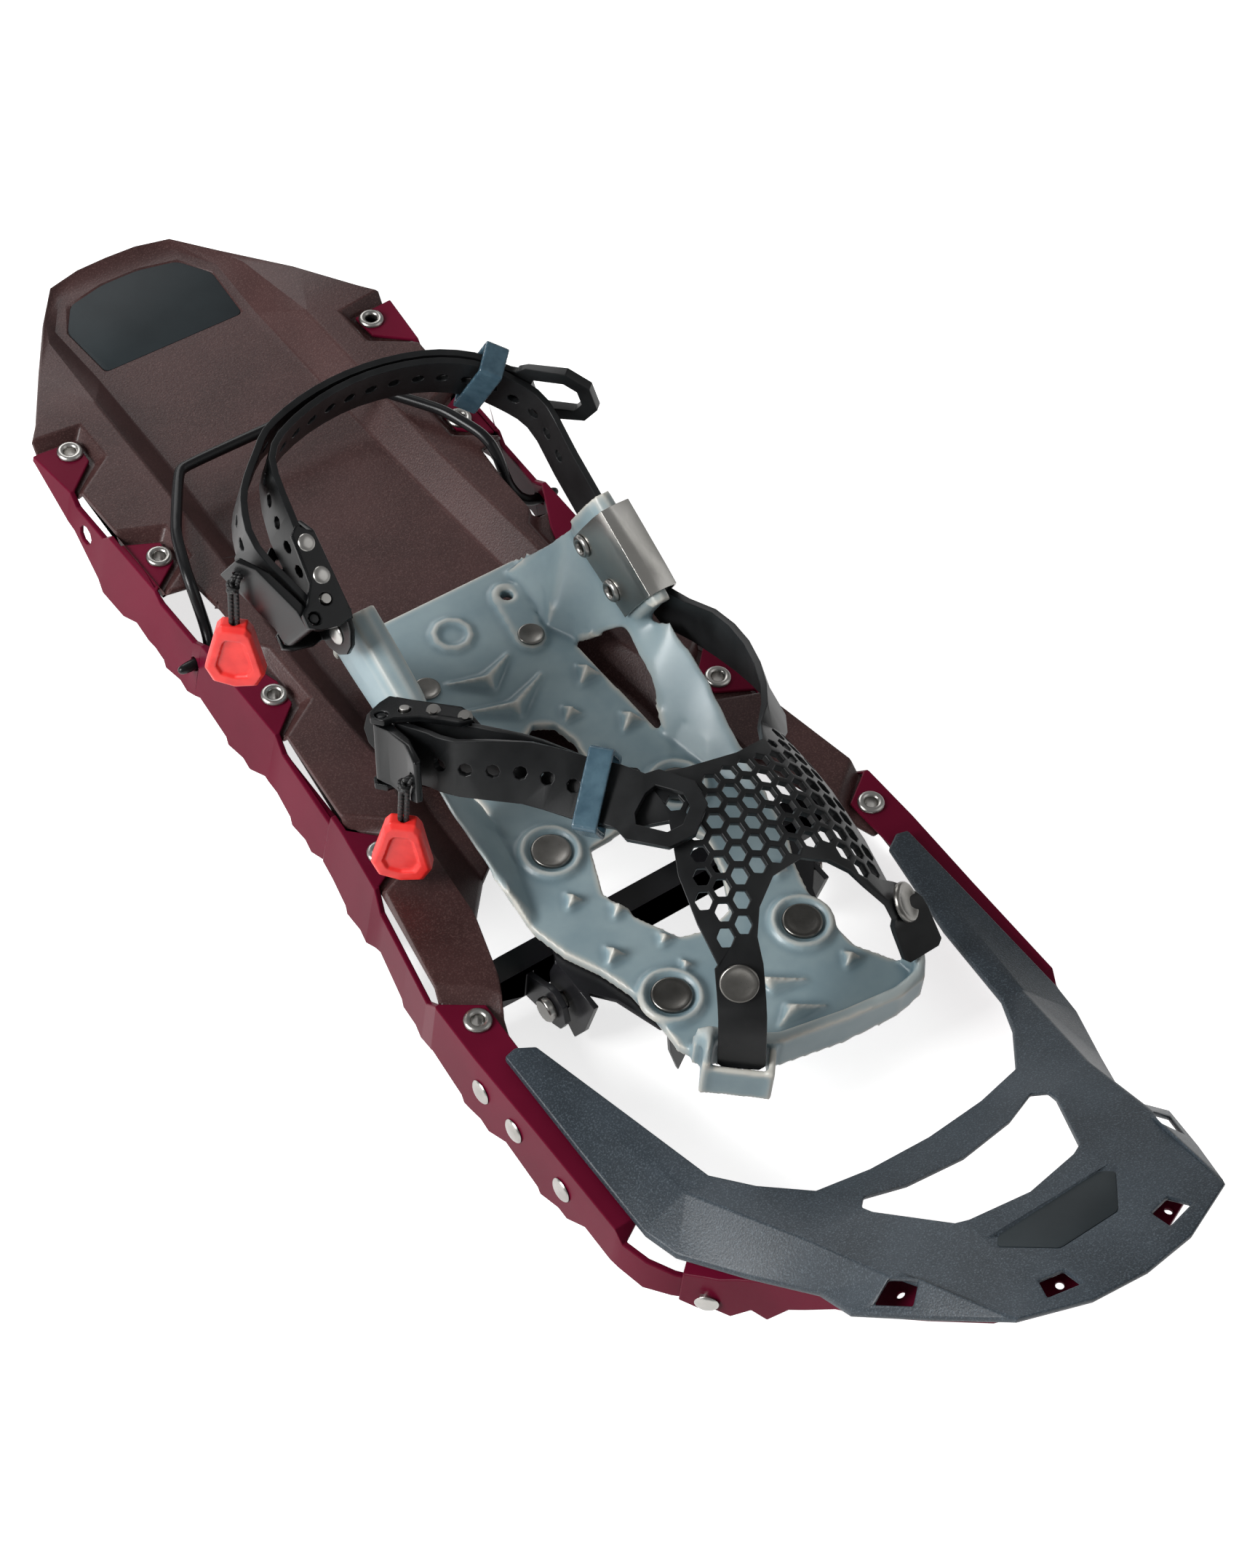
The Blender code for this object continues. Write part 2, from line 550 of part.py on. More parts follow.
def crampon():
    """The steel plate under the toes: a flat web under the bed, ears on the pins and claws turned down."""
    py, pz = PIVOT
    top = 3.6
    plan = mirrored([(0, -104), (14, -103), (26, -74), (22, -52), (20, -36), (34, -36), (38, -60), (47, -72),
                     (52.5, -84), (52.5, -98), (44, -108), (38, -126), (30, -131), (0, -128)])
    shape = sheet(plan, lambda p, up: (p[0], p[1], top if up else top - 2))
    plate = solid("crampon", shape, BLACK_STEEL)
    ear = [(-83, top - 0.5), (-80.5, pz + 6), *arc(py, pz, 8.5, (0, -45, -90)), (py - 8, pz - 14),
           (py - 13, pz - 4), (py - 17, top - 0.5)]
    claw = [(20, 3), (36, 3), (34, -12), (29, -27.5), (25, -15)]
    heel_claw = [(22, 3), (33, 3), (30.5, -14), (25, -8)]
    pieces, holes = [], []
    for side in SIDES:
        pieces.append(solid(f"crampon_ear_{side}", upright(ear, side, 50.3, 52.5), BLACK_STEEL))
        pieces.append(solid(f"crampon_claw_{side}", crosswise(claw, side, -129, -127), BLACK_STEEL))
        pieces.append(solid(f"crampon_heel_claw_{side}", crosswise(heel_claw, side, -40, -38), BLACK_STEEL))
        holes.append(drill(f"crampon_pin_hole_{side}", (side * 51.4, *PIVOT), (1, 0, 0), PIN_RADIUS + 0.4, 4))
        for k, (x, y) in enumerate(BED_RIVETS[1:]):
            holes.append(drill(f"crampon_rivet_hole_{side}_{k}", (side * x, y, top), (0, 0, 1), 2.4, 6))
    combine(plate, pieces, "UNION")
    return combine(plate, holes, "DIFFERENCE")


def footbed():
    """The moulded bed with its two strap wings and the toe lip."""
    z = BED_TOP
    outline = [(42, 77, z), (46.5, 67, 24), (51.5, 57, 42), (51.5, 14, 29), (54.5, 6, 35), (56.5, 0, 40),
               (57.5, -22.5, 30.5), (55, -51, 17.5), (53, -70, z), (49.5, -85, z), (43, -98, z),
               (39.5, -110, z), (38.5, -122, z), (39, -138, z)]
    left = [(-x, y, h) for x, y, h in reversed(outline)]
    toe = [(48, -152, z), (50, -161, z), (46, -165, z), (36, -166, z), (15, -163, z), (-10, -158, z),
           (-25, -150.5, z), (-36, -144, z)]
    centre = mirrored([(0, 6, z), (7, 2, z), (9, -8, z), (7, -22, z), (0, -26, z)])
    window = mirrored([(0, -51, z), (15, -52, z), (23, -71, z), (19, -86, z), (11, -101, z), (0, -104, z)])
    gap = [(36.3, 32.4, z), (46.5, 15.8, 27.5), (43, -6.5, 23), (37.8, -25.7, 8.6)]
    holes = [centre, window]
    creases = [[(-42, 74, z), (42, 74, z)]]
    pieces = [solid("footbed_toe_lip", toe_lip(), BED_PLASTIC)]
    for side in SIDES:
        holes.append([(side * x, y, h) for x, y, h in gap])
        rivets = BED_RIVETS[1:] if side > 0 else BED_RIVETS
        holes += [[(px, py, z) for px, py in circle(side * x, y, 2.4)] for x, y in rivets]
        creases.append([(side * 34, 73, z), (side * 31.5, 42, z)])
        creases.append([(side * 39, -29, z), (side * 42, -46, z), (side * 49, -67, z)])
        pieces.append(solid(f"footbed_wing_{side}", wing(side), BED_PLASTIC))
    thing = solid("footbed", sheet([*outline, *toe, *left], relief(BED), holes, creases), BED_PLASTIC)
    frame = axes_at(POST_PLACE, POST_ACROSS, (-POST_ACROSS[1], POST_ACROSS[0], 0))
    for k, (plan, high) in enumerate(TOE_POSTS):
        low = POST_FOOT + POST_STEP * k
        pieces.append(solid(f"footbed_toe_post_{k}", prism(plan, low, high), BED_PLASTIC, frame))
    pieces += [solid(f"footbed_boss_{k}", shape, BED_PLASTIC) for k, shape in enumerate(bed_relief())]
    combine(thing, pieces, "UNION")
    drills = clip_drills("footbed")
    for k, (x, y) in enumerate((PAD_HOLE, BED_RIVETS[0])):
        drills.append(drill(f"footbed_pad_hole_{k}", (x, y, z), (0, 0, 1), 2.7, 8))
    return combine(thing, drills, "DIFFERENCE")


def toe_lip():
    """The raised rim round the toe, as (x, y) with its lower and upper edge."""
    lip = ((-36.4, -142, 2.5, 21.5), (-25.3, -148.2, 0.5, 20), (-10, -157.5, -1, 15), (15, -162.5, -1, 15),
           (36, -165, 1, 16), (46.5, -163.5, 2.5, 17), (50.5, -159, 2.5, 22), (49.5, -152, 3.3, 20))
    rings = []
    for k, (x, y, low, high) in enumerate(lip):
        before, after = lip[max(0, k - 1)], lip[min(len(lip) - 1, k + 1)]
        across = Vector((after[1] - before[1], before[0] - after[0])).normalized() * 2.2
        rings.append([(x + across.x, y + across.y, low), (x + across.x, y + across.y, high),
                      (x - across.x, y - across.y, high + 1), (x - across.x, y - across.y, low + 1)])
    return loft(rings)


def wing_point(side, along, across, rise):
    """A point of a wing, from its place along the tube, across its middle plane and over its ridge."""
    c, s = WING_AXIS
    y, z = WING_FRONT
    return (side * (WING_X + across), y + along * c - rise * s, z + along * s + rise * c)


def wing_ring(side, along, grow=0.0, angles=range(0, 360, 30), extra=0.0):
    """Points round a wing's tube, counted from its outer face over the ridge."""
    half, reach = between(WING_HALF[side], along), between(WING_DEPTH, along) / 2
    ring = []
    for a in angles:
        c, s = math.cos(math.radians(a)), math.sin(math.radians(a))
        across = (half + grow) * math.copysign(abs(c) ** 0.6, c) + (extra if c > 0.4 else 0)
        rise = -reach + (reach + grow) * math.copysign(abs(s) ** 0.7, s)
        ring.append(wing_point(side, along, across, rise))
    return ring


def wing(side):
    """A wing's tube, closed at the front and hollow to its open rear end."""
    places = (0, 12, 30, 46)
    outer = [wing_ring(side, along) for along in places]
    inner = [wing_ring(side, along, -2.0) for along in (*reversed(places[1:]), 4.3)]
    return loft([*outer, *inner])


def wing_clip():
    """The bright sheet clip folded over the inner wing and the web's tail, eyeleted on its inside."""
    rings = []
    for along in CLIP_PLACES:
        sweep = range(-30, 211, 30)
        outer, inner = (wing_ring(1, along, grow, sweep, 3.7) for grow in (1.3, 0.4))
        rings.append([*outer, *reversed(inner)])
    thing = solid("wing_clip", loft(rings), BRIGHT_STEEL)
    return combine(thing, clip_drills("clip"), "DIFFERENCE")


def clip_drills(name):
    """Cutters for the clip's eyelets, through its inner side and into the wing."""
    return [drill(f"{name}_eyelet_hole_{k}", wing_point(1, along, -5.2, rise), (-1, 0, 0), 3.3, 4)
            for k, (along, rise) in enumerate(CLIP_EYELETS)]


def bed_relief():
    """The raised chevrons, studs, ring and pad of the bed, sunk a little into its top."""
    shapes = []
    low, z = BED_TOP - 1, BED_TOP
    for x, y, span, drop in ((-2.5, 32, 14, 7), (-1, 15.7, 18, 8)):
        rings = []
        for dx, dy, half, high in ((-span, drop, 0.9, 0.6), (0, 0, 4.0, 3.8), (span, drop, 0.9, 0.6)):
            px, py = x + dx, y + dy
            rings.append([(px, py - half, low), (px, py + half, low), (px, py, z + high)])
        shapes.append(loft(rings))
    corners = ((-1, -0.8), (1, -0.8), (0, 1.2))
    for x, y, radius in STUDS:
        shapes.append(loft([[(x + dx * radius, y + dy * radius, low) for dx, dy in corners],
                            [(x + dx * 0.3, y + dy * 0.3, z + 0.85 * radius) for dx, dy in corners]]))
    ring = [(8.5, low), (8.5, z + 0.8), (7.6, z + 1.5), (6.4, z + 1.5), (5.6, z + 0.8), (5.6, low)]
    points, faces = turned(ring, 10)
    shapes.append(([(px - 0.7, py + 58, pz) for px, py, pz in points], faces))
    ends = Vector(PAD_HOLE), Vector(BED_RIVETS[0])
    turn = math.degrees(math.atan2(*(ends[0] - ends[1]).yx))
    pad = []
    for end, first in zip(ends, (-90, 90)):
        pad += arc(*end, 6.2, [turn + first + 36 * k for k in range(6)])
    shapes.append(prism(pad, low, z + PAD_HEIGHT))
    return shapes


# Straps follow a route: a centre line with the direction of its width.


class Route:
    def __init__(self, controls, steps=2):
        spots = [Vector(c[:3]) for c in controls]
        widths = [Vector(c[3:]).normalized() for c in controls]
        self.stations = []
        length, last = 0.0, None
        for k in range(len(spots) - 1):
            a, b = spots[max(0, k - 1)], spots[k]
            c, d = spots[k + 1], spots[min(len(spots) - 1, k + 2)]
            for j in range(steps + (k == len(spots) - 2)):
                t = j / steps
                bend, swing = 2 * a - 5 * b + 4 * c - d, 3 * b - a - 3 * c + d
                spot = 0.5 * (2 * b + (c - a) * t + bend * t * t + swing * t ** 3)
                ahead = 0.5 * ((c - a) + 2 * bend * t + 3 * swing * t * t)
                width = widths[k].lerp(widths[k + 1], t)
                ahead.normalize()
                width = (width - ahead * width.dot(ahead)).normalized()
                length += (spot - last).length if last else 0.0
                last = spot
                self.stations.append((length, spot, width, ahead.cross(width)))
        self.length = length

    def at(self, along):
        """Position, width direction and normal at a length from the start, straight on past either end."""
        rows = self.stations
        for (a, p, w, n), (b, q, v, m) in zip(rows, rows[1:]):
            if along <= b or b == rows[-1][0]:
                t = (along - a) / (b - a)
                blend = min(1.0, max(0.0, t))
                return p.lerp(q, t), w.lerp(v, blend).normalized(), n.lerp(m, blend).normalized()

    def spot(self, along, sideways, lift):
        p, w, n = self.at(along)
        return tuple(p + w * sideways + n * lift)


def tube_control(along, across, rise, way):
    """A route's control along the inner wing's tube, for a strap that stands on edge."""
    c, s = WING_AXIS
    return (*wing_point(1, along, across, rise), 0, -s * way, c * way)


def strip_creases(route, start, finish_at, half, to_plan):
    """Lines across a strap wherever its route bends."""
    return [[to_plan(s, -half), to_plan(s, half)] for s, *_ in route.stations if start < s < finish_at]


def ring_end(start, reach):
    """The pull ring at a strap's end, as the outline beyond start and its hole."""
    far = start + reach
    side = [(start + 5, -14), (far - 7, -13), (far, -6)]
    outer = [(start, -HALF), *side, *((s, -w) for s, w in reversed(side)), (start, HALF)]
    edge = [(start + 3.5, -4), (start + 6, -8.5), (far - 9, -8.5), (far - 4.5, -4)]
    return outer, [*edge, *((s, -w) for s, w in reversed(edge))]


def shifted(control, offset):
    return (*(Vector(control[:3]) + offset), *control[3:])


def buckle_spot(origin, along, up, out, d, w, n):
    return tuple(Vector(origin) + along * d + up * w + out * n)


def turn_back(origin, along, up, out, width, tilt):
    """Strap controls round a buckle's roller, arriving against along and leaving tilted outward from it."""
    bends = [math.pi * 1.5 - k * (math.pi - tilt) / 4 for k in range(5)]
    flat = [(31, 0), (13, 0), (5, 0), *((TURN * math.cos(a), TURN + TURN * math.sin(a)) for a in bends)]
    c, s = math.cos(tilt), math.sin(tilt)
    flat += [(flat[-1][0] + c * reach, flat[-1][1] + s * reach) for reach in (5, 13, 24)]
    return [(*buckle_spot(origin, along, up, out, d, 0, n), *width) for d, n in flat]


def crown():
    """Points of the arch over the instep, evenly spaced by length, from x = 10 both ways."""
    knots = ((-34, 59), (-20, 65), (-5, 68.2), (10, 69), (25, 66.5), (38, 60.5), (48, 51.5), (55, 41),
             (59, 30))
    route = Route([(x, 0, z, 0, 1, 0) for x, z in knots], 6)
    zero = min(route.stations, key=lambda row: abs(row[1].x - 10))[0]
    return route, zero


CROWN, CROWN_ZERO = crown()


def web_point(u, v):
    spot, _, _ = CROWN.at(u + CROWN_ZERO)
    return Vector((spot.x, WEB_REAR - v, spot.z - WEB_FALL * max(0, v) ** 2))


def web_normal(u, v):
    here = web_point(u, v)
    return (web_point(u, v - 0.5) - here).cross(web_point(u - 0.5, v) - here).normalized()


def web_routes():
    """The four strips that leave the web: the strap, the tail into the wing and the two legs."""
    down = -FORE_UP
    base = web_point(STRAP_AT, 0)
    run = [(*base, 0, -1, 0), (-22, -70, 62.3, -0.4, -0.85, -0.3), (-29, -59.5, 61, -0.4, -0.75, -0.5),
           (-37.5, -44, 61, -0.3, -0.6, -0.75)]
    out = [Vector(c[:3]) for c in run]
    back = []
    for k, offset in ((3, 6.5), (2, RUN_SPACING), (1, RUN_SPACING)):
        ahead = (out[k - 1] - out[k + 1 if k < 3 else k]).normalized()
        normal = ahead.cross(Vector(run[k][3:])).normalized()
        back.append(shifted(run[k], -normal * offset))
    ring = [(-18.7, -82, 68, -0.82, -0.52, -0.2), (-9.7, -96, 70.6, -0.82, -0.52, -0.2)]
    bend = turn_back(FORE_ORIGIN, FORE_ALONG, FORE_UP, FORE_OUT, down, FORE_TILT)
    strap = Route([*run, *bend, *back, *ring])
    tail_base = web_point(TAIL_MIDDLE, TAIL_AT)
    tail = Route([(*tail_base, 0.62, 0, -0.78), (58, -58, 50, 0.45, 0, -0.9), (63.5, -38, 47, 0.2, 0.2, -1),
                  (65, -16, 41, 0, 0.3, -1),
                  *(tube_control(along, 7.3, TAIL_RISE, -1) for along in (0, 10, 22))])
    left_base, right_base = web_point(LEFT_LEG, LEG_AT), web_point(RIGHT_LEG, LEG_AT)
    left = Route([(*left_base, 0.93, 0, 0.36), (-22.5, -146, 42, 0.85, -0.45, 0.2),
                  (-24.8, -152, 31, 0.75, -0.65, 0.05), (-26, -155.5, 17, 0.755, -0.655, 0),
                  (-26.6, -157, 9, 0.755, -0.655, 0)])
    right = Route([(*right_base, 0.72, 0, -0.7), (48.3, -146, 35.6, 0.88, -0.05, -0.5),
                   (50, -150.5, 29.8, 0.93, -0.15, -0.35), (50.2, -153.8, 24.9, 0.95, -0.2, -0.25)])
    return strap, tail, left, right


def apart(loop, x, y):
    """The least distance from a point of the plan to a closed loop."""
    spot, least = Vector((x, y)), 1e9
    for a, b in zip(loop, (*loop[1:], loop[0])):
        a, b = Vector(a[:2]), Vector(b[:2])
        t = max(0.0, min(1.0, (spot - a).dot(b - a) / (b - a).length_squared))
        least = min(least, (a + (b - a) * t - spot).length)
    return least


def toe_web():
    """The rubber net over the toes, moulded in one with its strap, tail and legs."""
    strap, tail, left, right = web_routes()
    ring_start = strap.length - 22
    ring_outer, ring_hole = ring_end(ring_start, 26)
    strip = [(STRAP_AT - s, w) for s, w in ring_outer]
    left_end, right_end, tail_end = LEG_AT + left.length, LEG_AT + right.length, TAIL_AT - tail.length
    near, far = TAIL_MIDDLE - HALF, TAIL_MIDDLE + HALF
    loop = [(STRAP_AT, -HALF), *strip, (STRAP_AT, HALF), (-33, 28), (-36.5, 44),
            *leg_outline(LEFT_LEG, left_end), (-15, 51), (-5, 45), (8, 44), (18, 48), (25, 53),
            *leg_outline(RIGHT_LEG, right_end), (49, 40), (53, 18), (56, 2), (far, TAIL_AT), (far, tail_end),
            (near, tail_end), (near, TAIL_AT), (28, -3), (12, 0.5), (-8, -3)]
    holes = [[(STRAP_AT - s, w) for s, w in ring_hole]]
    bend = nearest_length(strap, buckle_spot(FORE_ORIGIN, FORE_ALONG, FORE_UP, FORE_OUT, -TURN, 0, TURN))
    for k in range(int((ring_start - 12) / HOLE_STEP)):
        s = ring_start - 12 - HOLE_STEP * k
        if s > 12 and abs(s - bend) > 17:
            holes.append([(STRAP_AT - s + dx, dy) for dx, dy in circle(0, 0, 2.4, 8)])
    for row in range(-3, 9):
        for column in range(-6, 9):
            u = HEX_PITCH * (column + 0.5 * (row % 2))
            v = 0.866 * HEX_PITCH * row
            on_web = (u > -22 or v > 20) and -12 < v < LEG_AT - 1 and inside(loop, u, v)
            room = apart(loop, u, v) if on_web else 0
            size = HEX_RADIUS if room > HEX_RADIUS + 1 else 2.1 if room > 3.6 else 0
            if size:
                holes.append([(u + dx, v + dy) for dx, dy in circle(0, 0, size, 6, 30)])
    holes += [circle(middle, LEG_AT + LEG_RIVET, 2.7, 8) for middle in (LEFT_LEG, RIGHT_LEG)]
    creases = strip_creases(strap, 0.5, ring_start, HALF, lambda s, w: (STRAP_AT - s, w))
    creases += strip_creases(tail, 0.5, tail.length - 0.5, HALF, lambda s, w: (TAIL_MIDDLE + w, TAIL_AT - s))
    for leg, middle in ((left, LEFT_LEG), (right, RIGHT_LEG)):
        creases += strip_creases(leg, 1, leg.length - 3, LEG_HALF, lambda s, w: (middle + w, LEG_AT + s))

    def lift(p, top):
        u, v = p[:2]
        half = STRAP / 2 if top else -STRAP / 2
        if v < HALF + 5 and u < STRAP_AT - 1.5:
            return strap.spot(STRAP_AT - u, v, half)
        if v < TAIL_AT:
            return tail.spot(TAIL_AT - v, u - TAIL_MIDDLE, -half)
        if v > LEG_AT and u < 0:
            return left.spot(v - LEG_AT, u - LEFT_LEG, half)
        if v > LEG_AT:
            return right.spot(v - LEG_AT, u - RIGHT_LEG, half)
        return tuple(web_point(u, v) + web_normal(u, v) * half)
    return solid("toe_web", sheet(loop, lift, holes, creases), STRAP_RUBBER), strap, left, right


def leg_outline(middle, end):
    """A leg's edge on the web's plan, down one side, round its end and up the other."""
    left, right = middle - LEG_HALF, middle + LEG_HALF
    return [(left, LEG_AT), (left, end - 2), (left + 2, end), (right - 2, end), (right, end - 2),
            (right, LEG_AT)]


def nearest_length(route, spot):
    """The length along a route at which it passes nearest to a point."""
    return min(route.stations, key=lambda row: (row[1] - Vector(spot)).length)[0]


def heel_route():
    up = (0, -0.3, 0.95)
    inner = [*(tube_control(along, 0, STRAP_RISE, 1) for along in (9, 28, 47, 64)), (52.5, 83, 76, *up),
             (45.5, 95, 81.5, *up), (35, 105, 86, *up), (19, 113, 88.5, *up), (-3, 117, 90, *up),
             (-26, 114, 92, *up), (-46.5, 105.5, 94, *up), (-58.5, 93.5, 95.5, *up)]
    spots = [Vector(c[:3]) for c in inner]
    back = [(-81.6, 72, 95, *up), (-75, 85.5, 97, *up)]
    spacing = ((11, 6.5), (10, 5), (9, 4), *((k, RUN_SPACING) for k in (8, 7, 6, 5)))
    for k, offset in spacing:
        ahead = (spots[k + 1 if k < 11 else k] - spots[k - 1]).normalized()
        normal = ahead.cross(Vector(up)).normalized()
        back.append(shifted(inner[k], normal * offset))
    back += [(57.5, 84, 84.5, *up), (65, 73, 88, *up)]
    turned_back = turn_back(HEEL_ORIGIN, HEEL_ALONG, HEEL_UP, HEEL_OUT, HEEL_UP, HEEL_TILT)
    return Route([*inner, *turned_back, *back], 3)


def heel_strap():
    route = heel_route()
    ring_start = route.length - 24
    ring_outer, ring_hole = ring_end(ring_start, 28)
    loop = [(0, -HALF), *ring_outer, (0, HALF)]
    bend = nearest_length(route, buckle_spot(HEEL_ORIGIN, HEEL_ALONG, HEEL_UP, HEEL_OUT, -TURN, 0, TURN))
    holes = [ring_hole]
    for k in range(int((ring_start - 60) / HOLE_STEP)):
        s = ring_start - 12 - HOLE_STEP * k
        if abs(s - bend) > 17 and s > 55:
            holes.append(circle(s, 0, 2.4, 8))
    creases = strip_creases(route, 0.5, ring_start, HALF, lambda s, w: (s, w))

    def lift(p, top):
        return route.spot(p[0], p[1], STRAP / 2 if top else -STRAP / 2)
    return solid("heel_strap", sheet(loop, lift, holes, creases), STRAP_RUBBER), route


def keeper(name, route, near):
    """A moulded loop that holds a strap's free run against the run beneath."""
    free = [row for row in route.stations if row[0] > route.length / 2]
    p, w, n = route.at(min(free, key=lambda row: (row[1] - Vector(near)).length)[0])
    middle = tuple(p + n * RUN_SPACING / 2)
    half, high = HALF + 1.8, RUN_SPACING / 2 + STRAP / 2 + 2.4
    outer = mirrored([(half + 1.2, -high - 1.8), (half + 2.2, -high - 0.6), (half + 2.2, high + 0.6),
                      (half + 1.2, high + 1.8)])
    hole = [(-half, -high), (half, -high), (half, high), (-half, high)]
    shape = sheet(outer, lambda q, top: (q[0], q[1], 4.5 if top else -4.5), [hole])
    thing = solid(name, shape, KEEPER_PLASTIC, axes_at(middle, w, n))
    carry(carrier(f"{name}_slide", middle), [thing])


# Buckles: a plate with two ears, a roller for the strap and a lever that presses on the run coming back.


def buckle_frame(origin, along, up, out):
    frame = Matrix((along, up, out)).transposed().to_4x4()
    frame.translation = place(origin)
    return frame


def lever_axis(lift):
    """Where a lever's axis lies over the roller, for the angle at which the lever stands."""
    c, s, rise = math.cos(lift), math.sin(lift), TURN + STRAP / 2 + 3.6
    return -2 * c - rise * s, TURN - 2 * s + rise * c


def buckle(name, frame, reach, lift, rivets):
    """A rounded plate under the strap with an ear up each side, drilled for the roller and the lever."""
    tip = [(1.2 * x - 3, y) for x, y in arc(0, 0, 13.5, range(105, 256, 25))]
    plate = [(reach - 6, -14.4), (reach, -8), (reach, 8), (reach - 6, 14.4), (-6, 14.4), *tip, (-6, -14.4)]
    low = PLATE_TOP - PLATE
    hole = circle(STUD_AT, 0, 2.4)
    shape = sheet(plate, lambda p, top: (p[0], p[1], PLATE_TOP if top else low), [hole])
    body = solid(name, shape, BUCKLE_PLASTIC, frame)
    d, n = lever_axis(lift)
    ear = [(-9, low + 0.3), (reach - 7, low + 0.3), (reach - 2, 1.5), (reach - 5, 4.8), (7, 6),
           (d + 5, n + 0.5), (d + 2.5, n + 3.6), (d - 2.5, n + 3.6), (d - 4.6, n), (-10.5, 2)]
    ears = []
    for side in SIDES:
        rings = [[(x, side * y, z) for x, z in ear] for y in (EAR_INNER, EAR_OUTER)]
        ears.append(solid(f"{name}_ear_{side}", loft(rings), BUCKLE_PLASTIC, frame))
    combine(body, ears, "UNION")
    points, faces = rod(40, 1.0, 10)
    cutters = []
    for k, (dx, dz, r) in enumerate(((0, TURN, 2.3), (d, n, 2.4), *((x, 1, 1.9) for x in rivets))):
        shape = ([(x * r + dx, y, z * r + dz) for x, y, z in points], faces)
        cutters.append(solid(f"{name}_hole_{k}", shape, BUCKLE_PLASTIC, frame))
    return combine(body, cutters, "DIFFERENCE")


def roller(name, frame):
    points, faces = rod(2 * EAR_OUTER + 1.6, 1.9)
    return solid(name, ([(x, y, z + TURN) for x, y, z in points], faces), BRIGHT_STEEL, frame)


def lever(name, frame, reach, lift):
    """A flat lever whose barrel turns on two trunnions, with a hole for its cord."""
    d, n = lever_axis(lift)
    lever_frame = frame @ Matrix.Translation((d * MM, 0, n * MM)) @ Matrix.Rotation(-lift, 4, "Y")
    wide, narrow = EAR_INNER - 0.7, 8.0
    barrel = arc(0, 0, 3.2, (60, 105, 150, 195, 240, 285))
    far = [(6, -2.2), (reach - 6, -1.2), (reach, 1.0), (reach, 3.6), (reach - 8, 1.8), (6, 1.6)]
    near = [(6, -2.2), (reach - 11, -1.5), (reach - 7, 0.2), (reach - 7, 1.7), (reach - 10, 1.7), (6, 1.6)]
    views = ((-wide, near), (-narrow, far), (narrow, far), (wide, near))
    rings = [[(x, y, z) for x, z in (*barrel, *view)] for y, view in views]
    thing = solid(name, loft(rings), BUCKLE_PLASTIC, lever_frame)
    trunnion = solid(f"{name}_trunnion", rod(2 * EAR_OUTER - 0.4, 1.9, 10), BUCKLE_PLASTIC, lever_frame)
    combine(thing, [trunnion], "UNION")
    bore = prism(circle(reach - 4.5, 0, 1.7), -8, 8)
    hole = solid(f"{name}_cord_hole", bore, BUCKLE_PLASTIC, lever_frame)
    return combine(thing, [hole], "DIFFERENCE"), lever_frame


def tube(points, radius, count=8):
    """A round bar along a path, as rings square to it."""
    spots = [Vector(p) for p in points]
    rings, across = [], None
    for k, spot in enumerate(spots):
        ahead = (spots[min(k + 1, len(spots) - 1)] - spots[max(k - 1, 0)]).normalized()
        across = ahead.orthogonal() if across is None else across
        across = (across - ahead * across.dot(ahead)).normalized()
        rise = ahead.cross(across)
        turns = [math.tau * j / count for j in range(count)]
        rings.append([tuple(spot + (across * math.cos(t) + rise * math.sin(t)) * radius) for t in turns])
    return loft(rings)


def pull_cord(name, lever_frame, reach):
    """A cord knotted outside the lever, which hangs plumb into its tab."""
    back, knot = (in_shoe(lever_frame, (reach - 4.5, 0, z)) for z in (-0.6, 5.4))
    end = knot - Vector((0, 0, CORD_DROP + CORD_SEAT))
    cord = solid(name, tube(rounded([back, knot, end], 2), 1.0), CORD_FABRIC)
    ball = [(abs(r), z) for r, z in arc(0, 0, 2.5, (-90, -45, 0, 45, 90))]
    head = solid(f"{name}_knot", turned(ball, 10), CORD_FABRIC, facing_frame(tuple(knot), (1, 0, 0)))
    return combine(cord, [head], "UNION"), tuple(knot)


def in_shoe(frame, point):
    """A point of a frame, given in its millimetres, in those of the shoe."""
    return frame @ (Vector(point) * MM) / MM - Vector((0, 0, TAB_HEIGHT))


def pull_tab(name, top, facing):
    """A red grip that hangs from its cord: a tapered block with a dished face."""
    frame = axes_at(top, Vector((0, 0, 1)).cross(Vector(facing)), (0, 0, 1))
    outline = mirrored([(4.5, 0), (6.5, -3), (11, -24), (8, -31), (0, -33)])
    rings = []
    for scale, z in ((0.86, -3.6), (1.0, -2.2), (1.0, 2.2), (0.88, 3.6), (0.62, 3.6), (0.56, 2.4)):
        rings.append([(x * scale, -17 + (y + 17) * scale, z) for x, y in outline])
    tab = solid(name, loft(rings), TAB_PLASTIC, frame)
    bore = drill(f"{name}_bore", top, (0, 0, 1), 1.4, CORD_SEAT + 1)
    return combine(tab, [bore], "DIFFERENCE")


def rounded(points, radius, steps=3):
    """A path whose inner corners are turned on short curves."""
    path = [Vector(points[0])]
    for before, here, after in zip(points, points[1:], points[2:]):
        before, here, after = Vector(before), Vector(here), Vector(after)
        a = here + (before - here).normalized() * min(radius, (before - here).length / 2)
        b = here + (after - here).normalized() * min(radius, (after - here).length / 2)
        for k in range(steps + 1):
            t = k / steps
            path.append((1 - t) ** 2 * a + 2 * t * (1 - t) * here + t * t * b)
    return [tuple(p) for p in [*path, Vector(points[-1])]]


